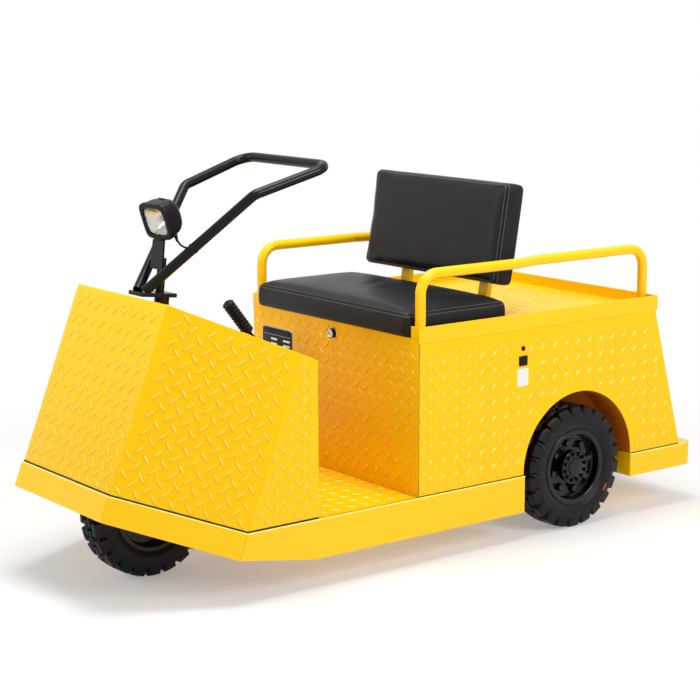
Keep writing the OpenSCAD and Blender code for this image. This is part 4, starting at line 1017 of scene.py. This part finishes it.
def swollen(obj, p, ends, cap):
    """The points after cloth pressure: the movement is eased, made small sideways and cut off at the cap."""
    held = obj.vertex_groups.new(name="held")
    held.add([int(k) for k in np.flatnonzero(p[:, 2] < HELD_BELOW)], 1.0, "REPLACE")
    cloth = obj.modifiers.new("cloth", "CLOTH")
    cloth.settings.vertex_group_mass = "held"
    cloth.settings.use_pressure = True
    cloth.settings.uniform_pressure_force = PRESSURE
    cloth.settings.effector_weights.gravity = 0
    for step in range(1, CLOTH_FRAMES + 1):
        scene.frame_set(step)
    result = obj.evaluated_get(bpy.context.evaluated_depsgraph_get()).to_mesh()
    full = read(result.vertices, "co")
    obj.modifiers.remove(cloth)
    scene.frame_set(1)
    move = eased(full * 1000 - p, ends, 40)
    move[:, :2] *= SIDEWAYS
    far = np.linalg.norm(move, axis=1, keepdims=True)
    return p + move * np.minimum(1, cap / np.maximum(far, 1e-6))


print(CLOTH_FRAMES, "frames at pressure", PRESSURE)

# %% Pads
GROOVE, GROOVE_W, BAND, SPILL = 1.8, 4.4, 2.4, 4


def pad(name, size, crown, cap, axes, origin, node, dents):
    """A stuffed pad in its own frame (width x, length y, height z). The start is a bevelled box whose top is raised
    by crown (1 - (2x/w)^4)(1 - (2y/l)^4), then swollen by cloth pressure and capped. The seam coordinate q is the
    distance in from the edge less the distance down from the top: zero on the edge, positive on the top sheet."""
    w, l, h = size
    obj = foam_block(name, w, l, h)
    mesh = obj.data
    p = read(mesh.vertices, "co").astype(float) * 1000
    ends = read(mesh.edges, "vertices", np.int32, 2)
    bulge = np.clip(1 - (2 * p[:, 0] / w) ** 4, 0, 1) * np.clip(1 - (2 * p[:, 1] / l) ** 4, 0, 1)
    p[:, 2] += crown * bulge * np.clip(p[:, 2] / h, 0, 1)
    set_places(mesh, p / 1000)
    p = swollen(obj, p, ends, cap)
    p = eased(p, ends, 4)
    set_places(mesh, p / 1000)
    past = np.stack([np.abs(p[:, 0]) - w / 2, np.abs(p[:, 1]) - l / 2], -1) + CORNER_R
    edge = CORNER_R - np.linalg.norm(np.maximum(past, 0), axis=1) - np.minimum(past.max(1), 0)
    q = edge - (h - p[:, 2])
    normal = read(mesh.vertices, "normal")
    top = smooth(p[:, 2], h * 0.7, h * 0.95)
    band = np.sin(np.pi * np.clip(p[:, 2] / h, 0, 1)) * (edge < 9)
    p[:, :2] += normal[:, :2] * (BAND * band)[:, None]
    p -= normal * (GROOVE * np.exp(-((q - 1) / GROOVE_W) ** 2) * (p[:, 2] > h * 0.5))[:, None]
    for x, y, ax, sink, wide, long in dents:
        across = (p[:, 0] - x) * np.cos(ax) + (p[:, 1] - y) * np.sin(ax)
        along = -(p[:, 0] - x) * np.sin(ax) + (p[:, 1] - y) * np.cos(ax)
        p[:, 2] -= sink * top * np.exp(-(across / wide) ** 2 - (along / long) ** 2)
    far = np.array([w / 2 + SPILL, l / 2 + SPILL, np.inf])
    p = np.clip(p, [-far[0], -far[1], 0], far)
    set_places(mesh, row(carried(p, origin, axes)))
    mesh.materials.clear()
    mesh.materials.append(finishes["leather_black"])
    mesh.polygons.foreach_set("use_smooth", np.ones(len(mesh.polygons), bool))
    finer = obj.modifiers.new("finer", "SUBSURF")
    finer.levels = finer.render_levels = 1
    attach(obj, "chassis")
    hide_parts(node)
    print(name, len(mesh.vertices), "points, top", round(float(p[:, 2].max()), 1))
    return obj


print("seam groove", GROOVE, "mm deep")

# %% Stitches
STITCH, THREAD_R = 7.0, 0.75


def stitches(name, obj, size, axes, origin, rows):
    """Beads of thread along the pad's edge. A rounded rectangle, walked at even steps, is moved in by each row's
    inset at each row's height; every bead then drops to the nearest point of the pad's surface."""
    w, l, _ = size
    x, y = w / 2, l / 2
    pts = bent_line([[0, -y, 0], [x, -y, 0], [x, y, 0], [-x, y, 0], [-x, -y, 0], [0, -y, 0]], CORNER_R)
    run = run_along(pts)
    at = np.arange(0, run[-1], STITCH)
    ring = np.stack([np.interp(at, run, pts[:, k]) for k in range(3)], -1)
    surface = BVHTree.FromObject(obj, bpy.context.evaluated_depsgraph_get())
    bead, faces = rounded_rings([(-2.8, 0, 2), (-2, THREAD_R, 2), (2, THREAD_R, 2), (2.8, 0, 2)], 6)
    bead = bead.reshape(-1, 3)[None]
    shapes = []
    for inward, height in rows:
        spot = ring * [1 - inward / x, 1 - inward / y, 1] + [0, 0, height]
        found = [surface.find_nearest(Vector(q)) for q in row(carried(spot, origin, axes))]
        place = np.array([f[0] for f in found]) * 1000 - AXLE
        out = np.array([f[1] for f in found])
        ahead = np.roll(place, -1, 0) - place
        ahead -= np.sum(ahead * out, 1, keepdims=True) * out
        ahead /= np.maximum(np.linalg.norm(ahead, axis=1, keepdims=True), 1e-9)
        beside = np.cross(out, ahead)
        points = place[:, None] + bead[..., 2:] * ahead[:, None] + bead[..., :1] * beside[:, None] \
            + (bead[..., 1:2] + 0.2) * out[:, None]
        shapes.append(copies(faces, points))
    piece(name, together(*shapes), "thread", "chassis", closed=False, sharp=180)


print("a stitch every", STITCH, "mm")

# %% Cushion and backrest
seat_size, seat_axes, seat_origin = (784, 405, 73), np.eye(3), [0, -670 + 397 / 2, DECK_Z + 0.3]
seat_dents = [(-60, 40, 0.5, 3.0, 26, 120), (40, -10, -0.4, 2.4, 22, 100), (-180, 20, 0.9, 2.0, 30, 110),
              (190, 40, -0.7, 2.0, 28, 90), (10, 110, 1.3, 2.2, 18, 130)]
cushion = pad("stuffed_cushion", seat_size, 15, 8, seat_axes, seat_origin, "seat_cushion", seat_dents)
stitches("cushion_thread", cushion, seat_size, seat_axes, seat_origin, [(7, 76), (0, 65)])
back_size, tilt = (664, 320, 76), math.radians(9.5)
back_axes = np.array([[1, 0, 0], [0, math.sin(tilt), math.cos(tilt)], [0, -math.cos(tilt), math.sin(tilt)]])
back_origin = np.array([0, -272, 809]) + back_axes[1] * 157 - back_axes[2] * back_size[2]
back_dents = [(-120, 30, 0.4, 1.2, 40, 140), (110, -20, -0.3, 1.2, 36, 120)]
backrest = pad("stuffed_backrest", back_size, 9, 6, back_axes, back_origin, "seat_back", back_dents)
stitches("backrest_thread", backrest, back_size, back_axes, back_origin, [(7, 78), (0, 66)])

# %% [markdown]
# ## Small fittings
# The brake lever ends in a ribbed rubber grip. The tub's front carries a key lock and a plain name plate with a
# bright border, left blank. The left side carries a push button, a charging socket and a blank white plate. The
# plates could be painted on by a texture, but thin sheets of their own keep sharp edges at any distance.

# %% Grip and lock
GRIP_TIP, GRIP_L, GRIP_R, RIB, RIB_PITCH, DOME = np.array([-220.0, -905, 746]), 130, 18.4, 1.6, 13, 12.5
lever_dir = unit(GRIP_TIP - LEVER_FOOT)
along = np.linspace(0, GRIP_L, GRIP_L + 1)
ripple = np.sin(along * 2 * np.pi / RIB_PITCH)
grip_r = GRIP_R + RIB * np.sign(ripple) * np.abs(ripple) ** 0.5
grip_r = grip_r * np.sqrt(1 - ((along - GRIP_L + 12) / DOME).clip(0, 1) ** 2)
grip = turned([(8.2, 0)] + list(zip(grip_r, along)) + [(0, GRIP_L)], 40)
grip = put(grip, GRIP_TIP - lever_dir * GRIP_L, axes_on(lever_dir, LEFT))
piece("ribbed_grip", grip, "rubber_black", "chassis", stands_for=["brake_grip"], closed=False, sharp=60)

lock = turned([(0, 12), (3, 12), (3.2, 15), (9.4, 15.4), (10.6, 17.4), (13.4, 18), (14.6, 17.2), (15, 15.6), (15, 8),
               (14.4, 7), (14.4, 3.6), (18, 3), (18.6, 2), (18.6, 0)], 48)
sleeve = turned([(14.6, 4), (15.6, 4), (15.8, 5), (15.8, 13.4), (15.4, 14), (14.6, 14)], 48)
lock, sleeve = (put(shape, LOCK, [[0, -1, 0], [1, 0, 0], [0, 0, -1]]) for shape in (lock, sleeve))
piece("key_sleeve", sleeve, "plastic_black", "chassis", closed=False, sharp=30)
piece("key_barrel", lock, "chrome", "chassis", stands_for=["key_lock"], closed=False, sharp=30)

# %% Plates, button and socket
def sheet_plate(middle, level, w, h, t):
    """A thin upright plate with round corners: superellipse rings of an outline w by h, with a small chamfer."""
    x, y = superellipse(14)
    rings = [(0, 0.0), (0, 1.0), (t * 0.7, 1.0), (t, 1 - 1.0 / w), (t, 0.0)]
    points = [np.stack([w / 2 * k * x, h / 2 * k * y, z + 0 * x], -1) for z, k in rings]
    return put((np.stack(points), quads(len(rings), len(x), wrap_m=True)), middle, [level, UP, np.cross(level, UP)])


def on_front(x, out, z, w, h, t):
    """A plate on the tub's front, placed from the middle of the name plate."""
    return sheet_plate([-294.5 + x, TUB_FRONT - out, 579.0 + z], LEFT, w, h, t)


def on_side(out, z, w, h, t):
    """A plate on the tub's left side, above the floor by z."""
    return sheet_plate([PANEL_X + out, SOCKET_Y, z], REARWARD, w, h, t)


lines = [on_front(0, 1.3, z, 150, 1.2, 0.3) for z in (22, -24)]
blanks = [on_front(x, 1.3, z, w, 7, 0.3) for z in (8, -8) for x, w in ((-18, 34), (52, 38))]
piece("name_plate_border", on_front(0, 0, 0, 170, 96, 1.0), "steel", "chassis")
piece("name_plate_field", on_front(0, 0.9, 0, 163, 89, 0.5), "plastic_black", "chassis")
piece("name_plate_lines", together(*lines), "steel", "chassis")
piece("name_plate_blanks", together(*blanks), "plate_white", "chassis")
piece("blank_label", on_side(0, 525, 45, 56, 0.8), "plate_white", "chassis")
button = turned([(0, 1.4), (3.4, 1.6), (4.0, 3.6), (5.4, 4.4), (6.2, 3.8), (6.6, 1.2), (7.6, 0.9), (8, 0)], 40)
button = put(button, [PANEL_X, SOCKET_Y, 616], np.eye(3))
socket = together(button, on_side(0, 577, 34, 31, 3.2), on_side(3.0, 576, 24, 21, 1.4))
piece("socket_and_button", socket, "plastic_black", "chassis", stands_for=["charge_socket"], sharp=30)

# %% [markdown]
# ## Floor and light
# The photograph has a white ground that fades into a white background, with a soft shadow under the machine. The
# floor is a pale sheet that takes the shadow near the machine and glows plain white further away. Light comes
# from a large box at the machine's left, one above and one in front on the right, over an even white sky. The sky
# is weak as a light, but the camera, mirrors and glass see it plain white.

# %% Floor
FLOOR_HALF, PALE, CLEAR_FROM, CLEAR_AT, LEAST_GLOW = 60, 0.93, 1.0, 2.5, 0.3
ground = bpy.data.meshes.new("floor_sheet")
ground.from_pydata(level_sheet(FLOOR_HALF, -FLOOR_HALF, FLOOR_HALF, 0), [], [(0, 1, 2, 3)])
added("floor_sheet", ground)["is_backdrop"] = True
pale = bpy.data.materials.new("pale_floor")
pale.use_nodes = True
tree = pale.node_tree
shader = tree.nodes["Principled BSDF"]
shader.inputs["Base Color"].default_value = (PALE, PALE, PALE, 1)
shader.inputs["Roughness"].default_value = 0.6
shader.inputs["Specular IOR Level"].default_value = 0.2
glow = tree.nodes.new("ShaderNodeEmission")
glow.inputs["Strength"].default_value = 1.0
spot = tree.nodes.new("ShaderNodeTexCoord").outputs["Object"]
distance = tree.nodes.new("ShaderNodeVectorMath")
distance.operation = "LENGTH"
tree.links.new(spot, distance.inputs[0])
fade = tree.nodes.new("ShaderNodeMapRange")
fade.interpolation_type = "SMOOTHSTEP"
for label, value in (("From Min", CLEAR_FROM), ("From Max", CLEAR_AT), ("To Min", LEAST_GLOW)):
    fade.inputs[label].default_value = value
tree.links.new(distance.outputs["Value"], fade.inputs["Value"])
mix = tree.nodes.new("ShaderNodeMixShader")
tree.links.new(fade.outputs["Result"], mix.inputs["Fac"])
tree.links.new(shader.outputs["BSDF"], mix.inputs[1])
tree.links.new(glow.outputs["Emission"], mix.inputs[2])
tree.links.new(mix.outputs["Shader"], tree.nodes["Material Output"].inputs["Surface"])
ground.materials.append(pale)
print("the floor fades to white between", CLEAR_FROM, "and", CLEAR_AT, "m")

# %% Light boxes and sky
def soft_box(name, place, target, size, power):
    """A square area light at a place, turned so that its -Z looks at the target."""
    data = bpy.data.lights.new(name, "AREA")
    data.shape = "SQUARE"
    data.size = size
    data.energy = power
    obj = added(name, data)
    look = (Vector(target) - Vector(place)).to_track_quat("-Z", "Y")
    obj.matrix_world = Matrix.Translation(Vector(place)) @ look.to_matrix().to_4x4()


SKY_LIGHT = 0.26
soft_box("box_left", (4.2, 0.8, 3.0), (0, 0, 0.5), 1.9, 112)
soft_box("box_above", (0.2, -0.4, 4.6), (0, 0, 0.3), 2.3, 152)
soft_box("box_front", (-1.8, -5.0, 2.6), (0, -0.3, 0.5), 2.4, 100)
sky = bpy.data.worlds.new("even_sky")
scene.world = sky
sky.use_nodes = True
tree = sky.node_tree
background = tree.nodes["Background"]
background.inputs["Color"].default_value = (1, 1, 1, 1)
ray = tree.nodes.new("ShaderNodeLightPath")
seen = arithmetic(tree, "MAXIMUM", ray.outputs["Is Camera Ray"],
                  arithmetic(tree, "MAXIMUM", ray.outputs["Is Glossy Ray"], ray.outputs["Is Transmission Ray"]))
strength = tree.nodes.new("ShaderNodeMapRange")
strength.inputs["To Min"].default_value = SKY_LIGHT
strength.inputs["To Max"].default_value = 1.0
tree.links.new(seen, strength.inputs["Value"])
tree.links.new(strength.outputs["Result"], background.inputs["Strength"])
scene.view_settings.view_transform = "Standard"

# %% [markdown]
# ## Closing
# The box round the dressed model, without the floor, is measured at the end.

# %% Sizes and end
bpy.context.view_layer.update()
low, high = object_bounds()
